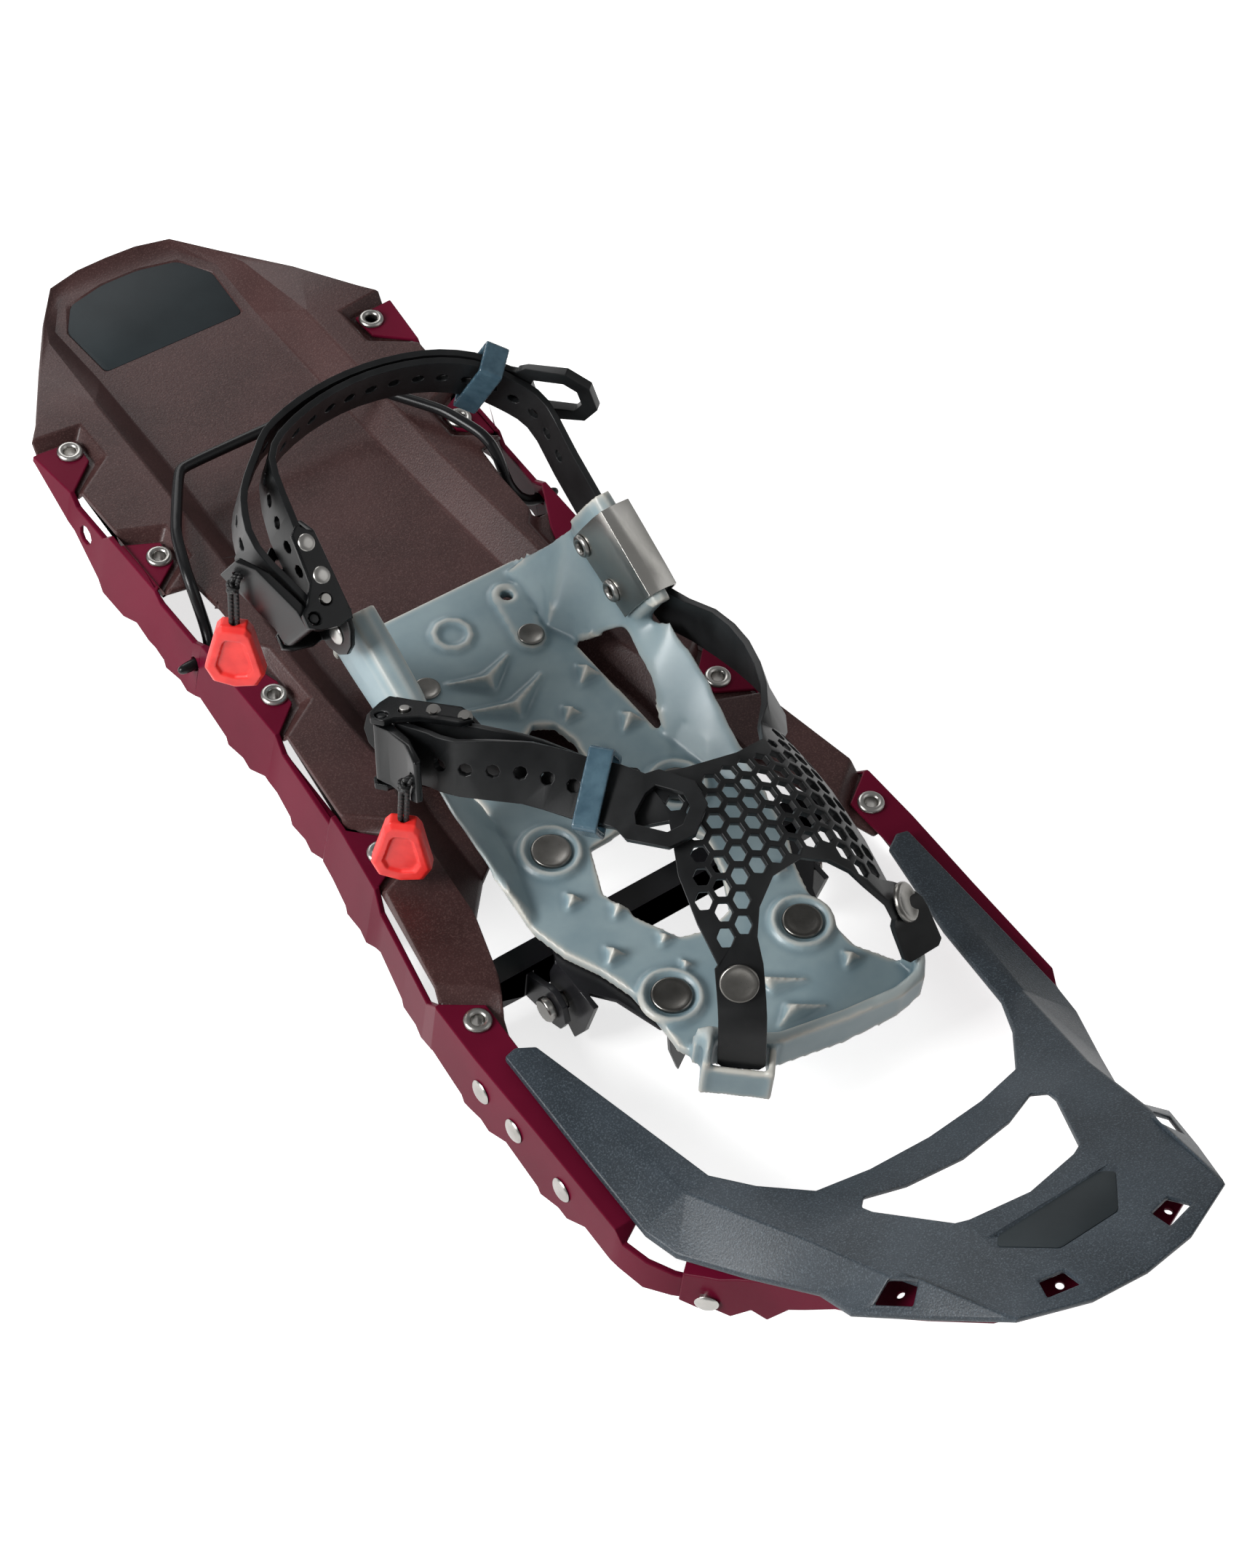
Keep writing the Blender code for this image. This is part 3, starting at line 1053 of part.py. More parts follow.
def heel_lifter():
    """The wire bail: stubs through the rails, cranked arms and a bar across the channel."""
    y, z = LIFTER
    half = [(89, y, z), (74, y, z), (70.2, y + 8, z + 3), (69.8, 130.5, 3.6), (68.6, 138, 8.2), (62, 157, 9),
            (43, 186.5, 8)]
    path = [*half, *((-px, py, pz) for px, py, pz in reversed(half))]
    bail = solid("heel_lifter", tube(rounded(path, 4.5, 2), WIRE_RADIUS), BLACK_STEEL)
    carry(carrier("heel_lifter_axis", (0, y, z)), [bail])
    return bail


def carrier(name, point):
    """An empty on a joint's axis."""
    empty = bpy.data.objects.new(name, None)
    empty.location = place(point)
    empty.empty_display_size = 0.01
    bpy.context.collection.objects.link(empty)
    return empty


def carry(empty, things):
    """Parents pieces to an empty and leaves them where they are."""
    bpy.context.view_layer.update()
    for thing in things:
        thing.parent = empty
        thing.matrix_parent_inverse = empty.matrix_world.inverted()


def base():
    """What the rails carry: decks, strap, cross bar and the fasteners that join them."""
    for side in SIDES:
        rail(side)
        name = SIDE_NAMES[side]
        for k, (x, y) in enumerate(EYELETS):
            eyelet(f"{name}_rail_eyelet_{k + 1}", (side * x, y, 0), (0, 0, 1), DECK + STEEL + 0.8)
        for k, (y, z) in enumerate(RAIL_RIVETS):
            x = between(BEND_LINE, y) + 0.04 * -z
            grip = STEEL if k else x - 93.5
            rivet(f"{name}_rail_rivet_{k + 1}", (side * x, y, z), (side, 0, 0.04), grip, 4.6)
        rivet(f"{name}_nose_rivet", (side * 84, -216.6, -9), (side * 0.7, -0.7, 0), 7.1, 4.2)
        pivot_pin(side)
    rear_deck()
    front_deck()
    nose_strap()
    cross_bar()
    heel_lifter()


def bed_rivets():
    """The rivets of the bed, of which the inner rear one stands on the raised pad."""
    made = []
    for side in SIDES:
        for k, (x, y) in enumerate(BED_RIVETS):
            rise = PAD_HEIGHT if (side, k) == (1, 0) else 0
            grip = BED + (3 if k else rise)
            head = 7.5 if k else 5.2
            name = f"{SIDE_NAMES[side]}_bed_rivet_{k + 1}"
            made.append(rivet(name, (side * x, y, BED_TOP + rise), (0, 0, 1), grip, head))
    return made


def buckle_set(name, frame, top, plate, rivets, head, reach, lift):
    """A buckle with its roller, rivets and stud, and its lever, cord and tab on their own axes."""
    pieces = [buckle(f"{name}_buckle", frame, plate, lift, rivets), roller(f"{name}_roller", frame)]
    for k, d in enumerate(rivets):
        spot = tuple(in_shoe(frame, (d, top * EAR_OUTER, 1)))
        facing = top * frame.col[1].xyz
        grip = EAR_OUTER - EAR_INNER
        pieces.append(rivet(f"{name}_buckle_rivet_{k + 1}", spot, facing, grip, head, 1.6, 0))
    spot = tuple(in_shoe(frame, (STUD_AT, 0, PLATE_TOP)))
    pieces.append(rivet(f"{name}_buckle_stud", spot, frame.col[2].xyz, PLATE, 3.9, 2.0, 0))
    handle, lever_frame = lever(f"{name}_lever", frame, reach, lift)
    cord, knot = pull_cord(f"{name}_cord", lever_frame, reach)
    tab = pull_tab(f"{name}_pull_tab", (*knot[:2], knot[2] - CORD_DROP), TAB_FACING)
    carry(carrier(f"{name}_lever_axis", tuple(in_shoe(lever_frame, (0, 0, 0)))), [handle])
    carry(carrier(f"{name}_tab_axis", knot), [cord, tab])
    return pieces


def binding():
    """What turns on the pivot pins: crampon, bed, straps, clip and buckles."""
    pieces = [crampon(), footbed(), *bed_rivets()]
    web, strap, left, right = toe_web()
    heel, heel_path = heel_strap()
    pieces += [web, heel]
    for name, leg in (("outer", left), ("inner", right)):
        p, _, n = leg.at(LEG_RIVET)
        spot = tuple(p + n * (STRAP / 2 + 1.3))
        pieces.append(rivet(f"{name}_toe_rivet", spot, tuple(n), STRAP + 2.6, 6.2))
    fore_frame = buckle_frame(FORE_ORIGIN, FORE_ALONG, FORE_UP, FORE_OUT)
    heel_frame = buckle_frame(HEEL_ORIGIN, HEEL_ALONG, -HEEL_UP, HEEL_OUT)
    pieces += buckle_set("forefoot", fore_frame, 1, 27, (10, 22), 2.3, 26, math.radians(32))
    pieces += buckle_set("heel", heel_frame, -1, 30, (8.5, 21), 2.9, 33, HEEL_TILT)
    pieces.append(wing_clip())
    for k, (along, rise) in enumerate(CLIP_EYELETS):
        spot = wing_point(1, along, -6.4, rise)
        pieces.append(eyelet(f"clip_eyelet_{k + 1}", spot, (-1, 0, 0), 2.2, 4.6, 2.0, 0))
    carry(carrier("binding_axis", (0, *PIVOT)), pieces)
    keeper("forefoot_keeper", strap, (-27, -65, 65))
    keeper("heel_keeper", heel_path, (40, 103, 84))


base()
binding()
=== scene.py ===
import bpy
import json
import math
import numpy as np
from mathutils import Matrix, Vector
from mathutils.geometry import interpolate_bezier


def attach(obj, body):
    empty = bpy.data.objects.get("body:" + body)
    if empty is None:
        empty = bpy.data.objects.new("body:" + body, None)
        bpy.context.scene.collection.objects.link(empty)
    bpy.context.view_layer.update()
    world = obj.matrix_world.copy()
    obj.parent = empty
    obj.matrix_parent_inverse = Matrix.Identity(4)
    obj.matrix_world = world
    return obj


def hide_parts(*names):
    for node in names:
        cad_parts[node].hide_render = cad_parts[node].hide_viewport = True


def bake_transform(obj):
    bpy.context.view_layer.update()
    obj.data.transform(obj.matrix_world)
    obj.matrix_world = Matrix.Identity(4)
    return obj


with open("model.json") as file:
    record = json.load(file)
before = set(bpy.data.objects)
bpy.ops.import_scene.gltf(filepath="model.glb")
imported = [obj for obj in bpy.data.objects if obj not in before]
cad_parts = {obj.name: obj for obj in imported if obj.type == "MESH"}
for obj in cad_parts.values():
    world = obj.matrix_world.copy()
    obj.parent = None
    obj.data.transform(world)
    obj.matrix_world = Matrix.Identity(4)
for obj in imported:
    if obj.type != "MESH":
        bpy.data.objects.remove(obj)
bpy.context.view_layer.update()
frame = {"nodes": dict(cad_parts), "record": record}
mm = 0.001
bodyOf = {node: body for body, nodes in frame["record"]["behaviour"]["bodies"].items() for node in nodes}
slotOf = {part["node"]: part["material_slot"] for part in frame["record"]["subparts"]}
print("frame loaded:", len(bodyOf), "nodes")

# Camera: the photograph's angle, found from pairs of points that mirror each other across the shoe
photoView = {
    "azimuth": -41.088, "elevation": 51.907, "roll": 6.5,  # degrees
    "place": (-0.4677, -0.5872, 0.9726), "nearest": 0.01,  # metres
    "lens": 74.4, "sensor": 36,  # mm, the sensor on the picture's long side
}


def aimCamera():
    az, el, roll = (math.radians(photoView[key]) for key in ("azimuth", "elevation", "roll"))
    back = Vector((math.sin(az) * math.cos(el), -math.cos(az) * math.cos(el), math.sin(el)))
    level = Vector((0, 0, 1)).cross(back).normalized()
    upright = back.cross(level)
    right = level * math.cos(roll) + upright * math.sin(roll)
    top = upright * math.cos(roll) - level * math.sin(roll)
    camera = bpy.data.objects.new("photoCamera", bpy.data.cameras.new("photoCamera"))
    bpy.context.scene.collection.objects.link(camera)
    camera.data.lens = photoView["lens"]
    camera.data.sensor_width = photoView["sensor"]
    camera.data.clip_start = photoView["nearest"]
    turn = Matrix((right, top, back)).transposed().to_4x4()
    camera.matrix_world = Matrix.Translation(photoView["place"]) @ turn
    bpy.context.scene.camera = camera


aimCamera()
bpy.context.scene.view_settings.view_transform = "Standard"
print("camera set")

grainDepth = 0.3 * mm  # how far any grain or weave stands out


def hexColour(text):
    channels = [int(text[k:k + 2], 16) / 255 for k in (1, 3, 5)]
    return (*(c / 12.92 if c <= 0.04045 else ((c + 0.055) / 1.055) ** 2.4 for c in channels), 1)


def perMetre(sizeInMm):
    return 1000 / sizeInMm


def addNode(owner, kind, inputs, **settings):
    made = owner.node_tree.nodes.new(kind)
    for key, value in settings.items():
        setattr(made, key, value)
    for key, value in inputs.items():
        if isinstance(value, bpy.types.NodeSocket):
            owner.node_tree.links.new(value, made.inputs[key])
        else:
            made.inputs[key].default_value = value
    return made


def newMaterial(name, **sockets):
    material = bpy.data.materials.new(name)
    material.use_nodes = True
    shader = material.node_tree.nodes["Principled BSDF"]
    for key, value in sockets.items():
        shader.inputs[key.replace("_", " ")].default_value = value
    return material


def link(material, output, socket):
    shader = material.node_tree.nodes["Principled BSDF"]
    material.node_tree.links.new(output, shader.inputs[socket])


def outputOf(material, node, socket):
    return material.node_tree.nodes[node].outputs[socket]


def mottled(name, dark, light, patch, **sockets):
    # One colour that wanders a little over patches of a size in mm
    material = newMaterial(name, **sockets)
    place = addNode(material, "ShaderNodeTexCoord", {}, name="place").outputs["Object"]
    wander = addNode(material, "ShaderNodeTexNoise", {"Vector": place, "Scale": perMetre(patch), "Detail": 4})
    ramp = addNode(material, "ShaderNodeMapRange",
                   {"Value": wander.outputs["Fac"], "From Min": 0.35, "From Max": 0.65})
    tint = addNode(material, "ShaderNodeMix",
                   {0: ramp.outputs[0], 6: hexColour(dark), 7: hexColour(light)},
                   data_type="RGBA", name="tint")
    link(material, tint.outputs[2], "Base Color")
    return material


def addGrain(material, size, strength):
    # A grain of a size in mm that breaks the gloss
    grain = addNode(material, "ShaderNodeTexNoise",
                    {"Vector": outputOf(material, "place", "Object"), "Scale": perMetre(size), "Detail": 3})
    bump = addNode(material, "ShaderNodeBump",
                   {"Height": grain.outputs["Fac"], "Strength": strength, "Distance": grainDepth})
    link(material, bump.outputs[0], "Normal")
    return grain.outputs["Fac"]


def powderCoatedSteel(name, dark, light, shine):
    # Sheet steel sprayed with polyester powder and baked: an even satin skin with a slight orange peel
    material = mottled(name, dark, light, patch=60, Roughness=0.28, Specular_IOR_Level=shine)
    addGrain(material, size=1.6, strength=0.03)
    return material


def grainedSheet(name, dark, light, glintFleck):
    # Moulded sheet with a spark-eroded grain, drawn coarser than its 0.2 mm: satin, with painted glints as
    # pale flecks
    material = mottled(name, dark, light, patch=30, Specular_IOR_Level=0.3)
    grain = addGrain(material, size=0.75, strength=0.3)
    # Painted glints: pale flecks mixed into the colour
    glintDots = addNode(material, "ShaderNodeTexNoise",
                   {"Vector": outputOf(material, "place", "Object"), "Scale": perMetre(0.6), "Detail": 2})
    pick = addNode(material, "ShaderNodeMapRange",
                   {"Value": glintDots.outputs["Fac"], "From Min": 0.5, "From Max": 0.75, "To Max": 0.7})
    glintFlecked = addNode(material, "ShaderNodeMix",
                      {0: pick.outputs[0], 6: outputOf(material, "tint", 2), 7: hexColour(glintFleck)},
                      data_type="RGBA")
    link(material, glintFlecked.outputs[2], "Base Color")
    gloss = addNode(material, "ShaderNodeMapRange", {"Value": grain, "To Min": 0.3, "To Max": 0.46})
    link(material, gloss.outputs[0], "Roughness")
    return material


def castUrethane(name, dark, light, hollowShade, crestHighlight):
    # Cast thermoplastic urethane: soft satin, light goes a little way in; raised places get a painted
    # highlight
    material = mottled(name, dark, light, patch=22, Roughness=0.34, Subsurface_Weight=0.2,
                       Subsurface_Radius=(0.8, 1.0, 1.1), Subsurface_Scale=0.8 * mm)
    addGrain(material, size=2.4, strength=0.03)
    relief = addNode(material, "ShaderNodeAttribute", {}, attribute_name="relief").outputs["Fac"]
    # Painted shade: hollows are darkened towards the fourth colour
    sunk = addNode(material, "ShaderNodeMapRange",
                   {"Value": relief, "From Min": -0.05, "From Max": -0.6, "To Max": 0.75})
    deep = addNode(material, "ShaderNodeMix",
                   {0: sunk.outputs[0], 6: outputOf(material, "tint", 2), 7: hexColour(hollowShade)},
                   data_type="RGBA")
    # Painted highlight: raised places and thin rims are paled towards the last colour
    highlightMask = addNode(material, "ShaderNodeMapRange",
                     {"Value": relief, "From Min": 0.08, "From Max": 0.7, "To Max": 0.9})
    pale = addNode(material, "ShaderNodeMix",
                   {0: highlightMask.outputs[0], 6: deep.outputs[2], 7: hexColour(crestHighlight)}, data_type="RGBA")
    link(material, pale.outputs[2], "Base Color")
    return material


def strapRubber(name, dark, light):
    # Black urethane strapping: satin, with a fine drag in the surface
    material = mottled(name, dark, light, patch=12, Roughness=0.34, Specular_IOR_Level=0.26)
    addGrain(material, size=0.7, strength=0.06)
    return material


def mouldedNylon(name, dark, light):
    # Glass-filled nylon from an etched mould: near black, a low gloss broken by a tight grain
    material = mottled(name, dark, light, patch=8, Roughness=0.26, Specular_IOR_Level=0.3)
    addGrain(material, size=0.5, strength=0.05)
    return material


def platedSteel(name, dark, light):
    # Nickel-plated steel, tumbled: grey and bright at the rims, with hazy handling marks
    material = mottled(name, dark, light, patch=9, Metallic=1.0)
    grain = addGrain(material, size=0.5, strength=0.02)
    haze = addNode(material, "ShaderNodeMapRange", {"Value": grain, "To Min": 0.24, "To Max": 0.36})
    link(material, haze.outputs[0], "Roughness")
    return material


def rolledStainless(name, dark, light):
    # Stainless sheet as rolled: mirror-like, with streaks 1.1 mm wide and 40 mm long that run along the shoe
    material = mottled(name, dark, light, patch=60, Metallic=1.0)
    across, along = perMetre(1.1), perMetre(40)
    drawn = addNode(material, "ShaderNodeMapping",
                    {"Vector": outputOf(material, "place", "Object"), "Scale": (across, along, across)})
    streak = addNode(material, "ShaderNodeTexNoise", {"Vector": drawn.outputs[0], "Scale": 1.0, "Detail": 2})
    haze = addNode(material, "ShaderNodeMapRange",
                   {"Value": streak.outputs["Fac"], "To Min": 0.18, "To Max": 0.3})
    link(material, haze.outputs[0], "Roughness")
    return material


def softTab(name, dark, light):
    # Soft red rubber: satin, with a moulded skin that light enters a little
    material = mottled(name, dark, light, patch=6, Roughness=0.4, Subsurface_Weight=0.15,
                       Subsurface_Radius=(1.0, 0.3, 0.2), Subsurface_Scale=2 * mm)
    addGrain(material, size=0.6, strength=0.05)
    return material


def clearKeeper(name, dark, light):
    # The bed's urethane in a thin glossy section, where the strap shows through it a little
    material = mottled(name, dark, light, patch=6, Roughness=0.16, Transmission_Weight=0.35, IOR=1.48)
    addGrain(material, size=1.0, strength=0.03)
    return material


def labelFilm(name, dark, light):
    # Plain polycarbonate film on the deck: smooth, slate grey, a low sheen
    material = mottled(name, dark, light, patch=40, Roughness=0.5, Specular_IOR_Level=0.2)
    addGrain(material, size=0.5, strength=0.03)
    return material


def braidedCord(name, dark, light, fleck):
    # Braided polyester cord: diagonal yarns with a pale marker yarn, drawn coarser than life to show
    material = mottled(name, dark, light, patch=2, Roughness=0.55)
    place = outputOf(material, "place", "Object")
    yarn = addNode(material, "ShaderNodeTexWave",
                   {"Vector": place, "Scale": perMetre(3.2), "Distortion": 1.5}, bands_direction="DIAGONAL")
    marker = addNode(material, "ShaderNodeTexVoronoi", {"Vector": place, "Scale": perMetre(1.3)})
    pick = addNode(material, "ShaderNodeMapRange",
                   {"Value": marker.outputs["Distance"], "From Min": 0.2, "From Max": 0.12, "To Max": 0.6})
    mixed = addNode(material, "ShaderNodeMix",
                    {0: pick.outputs[0], 6: outputOf(material, "tint", 2), 7: hexColour(fleck)},
                    data_type="RGBA")
    link(material, mixed.outputs[2], "Base Color")
    bump = addNode(material, "ShaderNodeBump",
                   {"Height": yarn.outputs["Fac"], "Strength": 0.6, "Distance": grainDepth})
    link(material, bump.outputs[0], "Normal")
    return material


# One finish for each of the record's slots, then three that only some pieces of a slot take
finishes = {
    "red_steel": powderCoatedSteel("railPowderCoat", "#540b21", "#621129", shine=0.05),
    "dark_steel": powderCoatedSteel("blackPowderCoat", "#161618", "#202023", shine=0.35),
    "black_wire": powderCoatedSteel("lifterDipCoat", "#0a0a0b", "#111113", shine=0.3),
    "bright_steel": platedSteel("platedHardware", "#a3a19d", "#bab8b4"),
    # Each deck's last colour is pale flecks painted in as painted glints
    "brown_deck": grainedSheet("rearDeckSheet", "#341f1e", "#402827", "#5c4441"),
    "grey_deck": grainedSheet("frontDeckSheet", "#262d33", "#30383f", "#545e66"),
    # The bed's last two colours are painted shade for its hollows and a painted highlight for its crests
    "bed_plastic": castUrethane("bedUrethane", "#7b8f96", "#8c9ea3", "#546b75", "#c4c1b8"),
    "black_strap": strapRubber("strapUrethane", "#131415", "#1c1d1e"),
    "black_plastic": mouldedNylon("buckleNylon", "#08090a", "#101112"),
    "keeper_plastic": clearKeeper("keeperUrethane", "#3f5b6b", "#557281"),
    "black_cord": braidedCord("pullCord", "#0b0b0c", "#171718", "#6e6e69"),
    "red_plastic": softTab("tabRubber", "#d9221f", "#e8322c"),
    "clip_steel": rolledStainless("clipStainless", "#b3b1ac", "#c8c6c2"),
    "rivet_steel": platedSteel("dishedRivets", "#72706c", "#898783"),
    "label": labelFilm("labelFilm", "#1f2528", "#272e31"),
}
print("materials made:", len(finishes))

welds = {"gap": 0.02, "flat": 1}  # mm between points that are one, degrees between faces that are one


def deselectAll():
    if bpy.context.mode != "OBJECT":
        bpy.ops.object.mode_set(mode="OBJECT")
    bpy.ops.object.select_all(action="DESELECT")


def makeActive(piece):
    deselectAll()
    bpy.context.view_layer.objects.active = piece
    piece.select_set(True)


def editAll():
    bpy.ops.object.mode_set(mode="EDIT")
    bpy.ops.mesh.select_all(action="SELECT")


def closeEdit(recalculate=True):
    if recalculate:
        bpy.ops.mesh.select_all(action="SELECT")
        bpy.ops.mesh.normals_make_consistent(inside=False)
    bpy.ops.object.mode_set(mode="OBJECT")


def applied(piece, kind, **settings):
    makeActive(piece)
    modifier = piece.modifiers.new(kind.lower(), kind)
    for key, value in settings.items():
        setattr(modifier, key, value)
    bpy.ops.object.modifier_apply(modifier=modifier.name)


def weldedCopy(node, name):
    piece = bpy.data.objects.new(name, frame["nodes"][node].data.copy())
    bpy.context.scene.collection.objects.link(piece)
    makeActive(piece)
    piece.data.materials.clear()
    bpy.ops.mesh.customdata_custom_splitnormals_clear()
    editAll()
    bpy.ops.mesh.remove_doubles(threshold=welds["gap"] * mm)
    bpy.ops.mesh.dissolve_limited(angle_limit=math.radians(welds["flat"]))
    closeEdit(recalculate=False)
    return piece


def dress(piece, node, finish=None):
    piece.data.materials.append(finishes[finish or slotOf[node]])
    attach(piece, bodyOf[node])
    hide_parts(node)


# Moulded pieces: the solid is filled with small cells, in mm, and its skin is relaxed in some passes, which
# gives every corner a mould's radius. The bed's slopes, between two heights, are relaxed further, and its
# relief is marked against a copy of itself that has more passes.
moulded = {
    "footbed": {"cell": 0.95, "passes": 2, "slopes": (46, 79), "marked": 40},
    "forefoot_keeper": {"cell": 0.4, "passes": 5},
    "heel_keeper": {"cell": 0.4, "passes": 5},
    "forefoot_pull_tab": {"cell": 0.4, "passes": 4},
    "heel_pull_tab": {"cell": 0.4, "passes": 4},
}
relaxing = {"share": 0.5, "slopePasses": 90}

# The bed's relief in mm: collars round its rivets, ridges from a tip to a bend, and three-sided studs
bedRelief = {
    "top": 39.2, "sunk": 1.0,
    "collars": [(-28.3, -46), (28.3, -46), (-29, -120), (29, -120)],
    "collarRadius": 10.4, "collarThick": 1.8, "collarSides": (48, 10),
    "ridges": [((-16.5, 39), (-2.8, 31)), ((12, 39), (-2.8, 31)), ((-19.5, 24.6), (-1.6, 15)),
               ((17, 24.4), (-1.6, 15)), ((15.5, -140.5), (1, -134)), ((-5.5, -151), (2.4, -148.6)),
               ((14.4, -153), (2.4, -148.6))],
    "ridgeHalf": 5.6, "ridgeHigh": 5.2, "tipHalf": 1.2, "tipHigh": 0.9,
    "studs": [(30.4, 14.5, 7.6), (31, -12.5, 7.6), (14.4, 2.3, 6.4), (13.6, -20, 6.4), (-36, -95, 6.4),
              (-34.4, -68, 5.8), (-23, -80, 5.6), (-16.6, -99, 5), (33.5, -142, 6), (-30, 10, 7.2)],
    "studTip": 0.2,
}


def joinTo(piece):
    bpy.ops.object.transform_apply()
    piece.select_set(True)
    bpy.context.view_layer.objects.active = piece
    bpy.ops.object.join()


def addCollar(piece, x, y):
    around, across = bedRelief["collarSides"]
    deselectAll()
    bpy.ops.mesh.primitive_torus_add(
        location=(x * mm, y * mm, bedRelief["top"] * mm), major_radius=bedRelief["collarRadius"] * mm,
        minor_radius=bedRelief["collarThick"] * mm, major_segments=around, minor_segments=across)
    joinTo(piece)


def addRidge(piece, tip, bend):
    # A prism whose two end triangles are set one by one: low and thin at the tip, tall at the bend
    low, top = bedRelief["top"] - bedRelief["sunk"], bedRelief["top"]
    deselectAll()
    bpy.ops.mesh.primitive_cylinder_add(vertices=3, radius=mm, depth=mm, location=(0, 0, 0))
    corners = bpy.context.object.data.vertices
    for end, (x, y), half, high in ((0, tip, bedRelief["tipHalf"], bedRelief["tipHigh"]),
                                    (1, bend, bedRelief["ridgeHalf"], bedRelief["ridgeHigh"])):
        for k, corner in enumerate(((x, y - half, low), (x, y + half, low), (x, y, top + high))):
            corners[2 * k + end].co = Vector(corner) * mm
    editAll()
    closeEdit()
    joinTo(piece)


def addStud(piece, x, y, radius):
    # As tall as its radius
    middle = bedRelief["top"] - bedRelief["sunk"] + radius / 2
    deselectAll()
    bpy.ops.mesh.primitive_cone_add(
        vertices=3, radius1=radius * mm, radius2=bedRelief["studTip"] * mm, depth=radius * mm,
        location=(x * mm, y * mm, middle * mm))
    joinTo(piece)


def addRelief(piece):
    for collar in bedRelief["collars"]:
        addCollar(piece, *collar)
    for ridge in bedRelief["ridges"]:
        addRidge(piece, *ridge)
    for stud in bedRelief["studs"]:
        addStud(piece, *stud)


def pointField(piece, field):
    found = np.empty(len(piece.data.vertices) * 3, np.float32)
    piece.data.vertices.foreach_get(field, found)
    return found.reshape(-1, 3)


def markRelief(piece, passes):
    # How far each point stands out from its smoothed surroundings, in mm, for the material to paint highlight
    # and shade
    worn = bpy.data.objects.new("wornCopy", piece.data.copy())
    bpy.context.scene.collection.objects.link(worn)
    applied(worn, "SMOOTH", factor=relaxing["share"], iterations=passes)
    moved = pointField(piece, "co") - pointField(worn, "co")
    proud = (moved * pointField(piece, "normal")).sum(1) / mm
    bpy.data.objects.remove(worn)
    piece.data.attributes.new("relief", "FLOAT", "POINT").data.foreach_set("value", proud)


def relaxSlopes(piece, lowest, highest):
    chosen = [v.index for v in piece.data.vertices if lowest * mm < v.co.z < highest * mm]
    piece.vertex_groups.new(name="slopes").add(chosen, 1, "REPLACE")
    applied(piece, "SMOOTH", factor=relaxing["share"], iterations=relaxing["slopePasses"],
            vertex_group="slopes")


def mouldPiece(node, cell, passes, slopes=None, marked=0):
    piece = weldedCopy(node, node + "Moulded")
    if marked:
        addRelief(piece)
    applied(piece, "REMESH", mode="VOXEL", voxel_size=cell * mm, use_smooth_shade=True)
    applied(piece, "SMOOTH", factor=relaxing["share"], iterations=passes)
    if slopes:
        relaxSlopes(piece, *slopes)
    if marked:
        markRelief(piece, marked)
    dress(piece, node)
    print(node, "moulded:", len(piece.data.polygons), "faces")


for node, settings in moulded.items():
    mouldPiece(node, **settings)

# Sheared and moulded sheet, strapping and hard mouldings: edges broken by a small radius, in mm. A pull ring
# swells about its middle, a leg's end is drawn over the bed's horn, and a hole has a place and a direction.
edged = {
    "rear_deck": {"edge": 1.2, "smooth": 30},
    "front_deck": {"edge": 0.9, "smooth": 30},
    "outer_rail": {"edge": 0.45, "smooth": 14},
    "inner_rail": {"edge": 0.45, "smooth": 14},
    "nose_strap": {"edge": 0.4, "smooth": 14,
                   "holes": [((-49.6, -266.8, 68.5), (-0.24, 0.53, 0.81)),
                             ((-18.2, -301.3, 95.1), (-0.07, 0.08, 0.99)),
                             ((29.2, -299.9, 93.7), (0.16, 0.09, 0.98))]},
    "cross_bar": {"edge": 0.4},
    "crampon": {"edge": 0.4},
    "wing_clip": {"edge": 0.12, "smooth": 60, "finish": "clip_steel"},
    "toe_web": {"edge": 0.4, "ring": ((-14.6, -88.4, 100.4), (0.249, -0.02, -0.968)),
                "end": ((50.2, -153.8, 56.1), (0, -6, -5))},
    "heel_strap": {"edge": 0.4, "ring": ((59.6, 80.9, 116.7), (-0.783, -0.593, -0.187))},
    "forefoot_buckle": {"edge": 0.6},
    "heel_buckle": {"edge": 0.6},
    "forefoot_lever": {"edge": 0.7},
    "heel_lever": {"edge": 0.7},
    "outer_pivot_pin": {"edge": 0.3},
    "inner_pivot_pin": {"edge": 0.3},
    "forefoot_roller": {"edge": 0.3},
    "heel_roller": {"edge": 0.3},
}
edging = {"segments": 2, "angle": 40, "smooth": 38, "weight": 80}  # angles in degrees
rings = {"reach": 17.5, "deep": 1.4, "swell": 0.9}
legEnd = {"reach": 14, "behind": 2.5, "along": (0, -0.56, -0.83)}
noseBore = {"radius": 1.4, "depth": 12, "sides": 24}


def swellRing(piece, middle, facing):
    about, facing = Vector(middle) * mm, Vector(facing).normalized()
    chosen = []
    for v in piece.data.vertices:
        away = v.co - about
        if away.length < rings["reach"] * mm and abs(away.dot(facing)) < rings["deep"] * mm:
            chosen.append(v.index)
    piece.vertex_groups.new(name="ring").add(chosen, 1, "REPLACE")
    applied(piece, "DISPLACE", strength=rings["swell"] * mm, mid_level=0, vertex_group="ring")


def drawEnd(piece, end, by):
    # Only the points near the leg's end move, and none that lies further back along the leg
    about, along = Vector(end) * mm, Vector(legEnd["along"])
    for v in piece.data.vertices:
        away = v.co - about
        if away.length < legEnd["reach"] * mm and away.dot(along) > -legEnd["behind"] * mm:
            v.co += Vector(by) * mm


def boreHole(piece, place, way):
    deselectAll()
    bpy.ops.mesh.primitive_cylinder_add(
        vertices=noseBore["sides"], radius=noseBore["radius"] * mm, depth=noseBore["depth"] * mm,
        location=Vector(place) * mm, rotation=Vector(way).to_track_quat("Z", "X").to_euler())
    cutter = bpy.context.object
    applied(piece, "BOOLEAN", object=cutter, operation="DIFFERENCE", solver="EXACT")
    bpy.data.objects.remove(cutter)


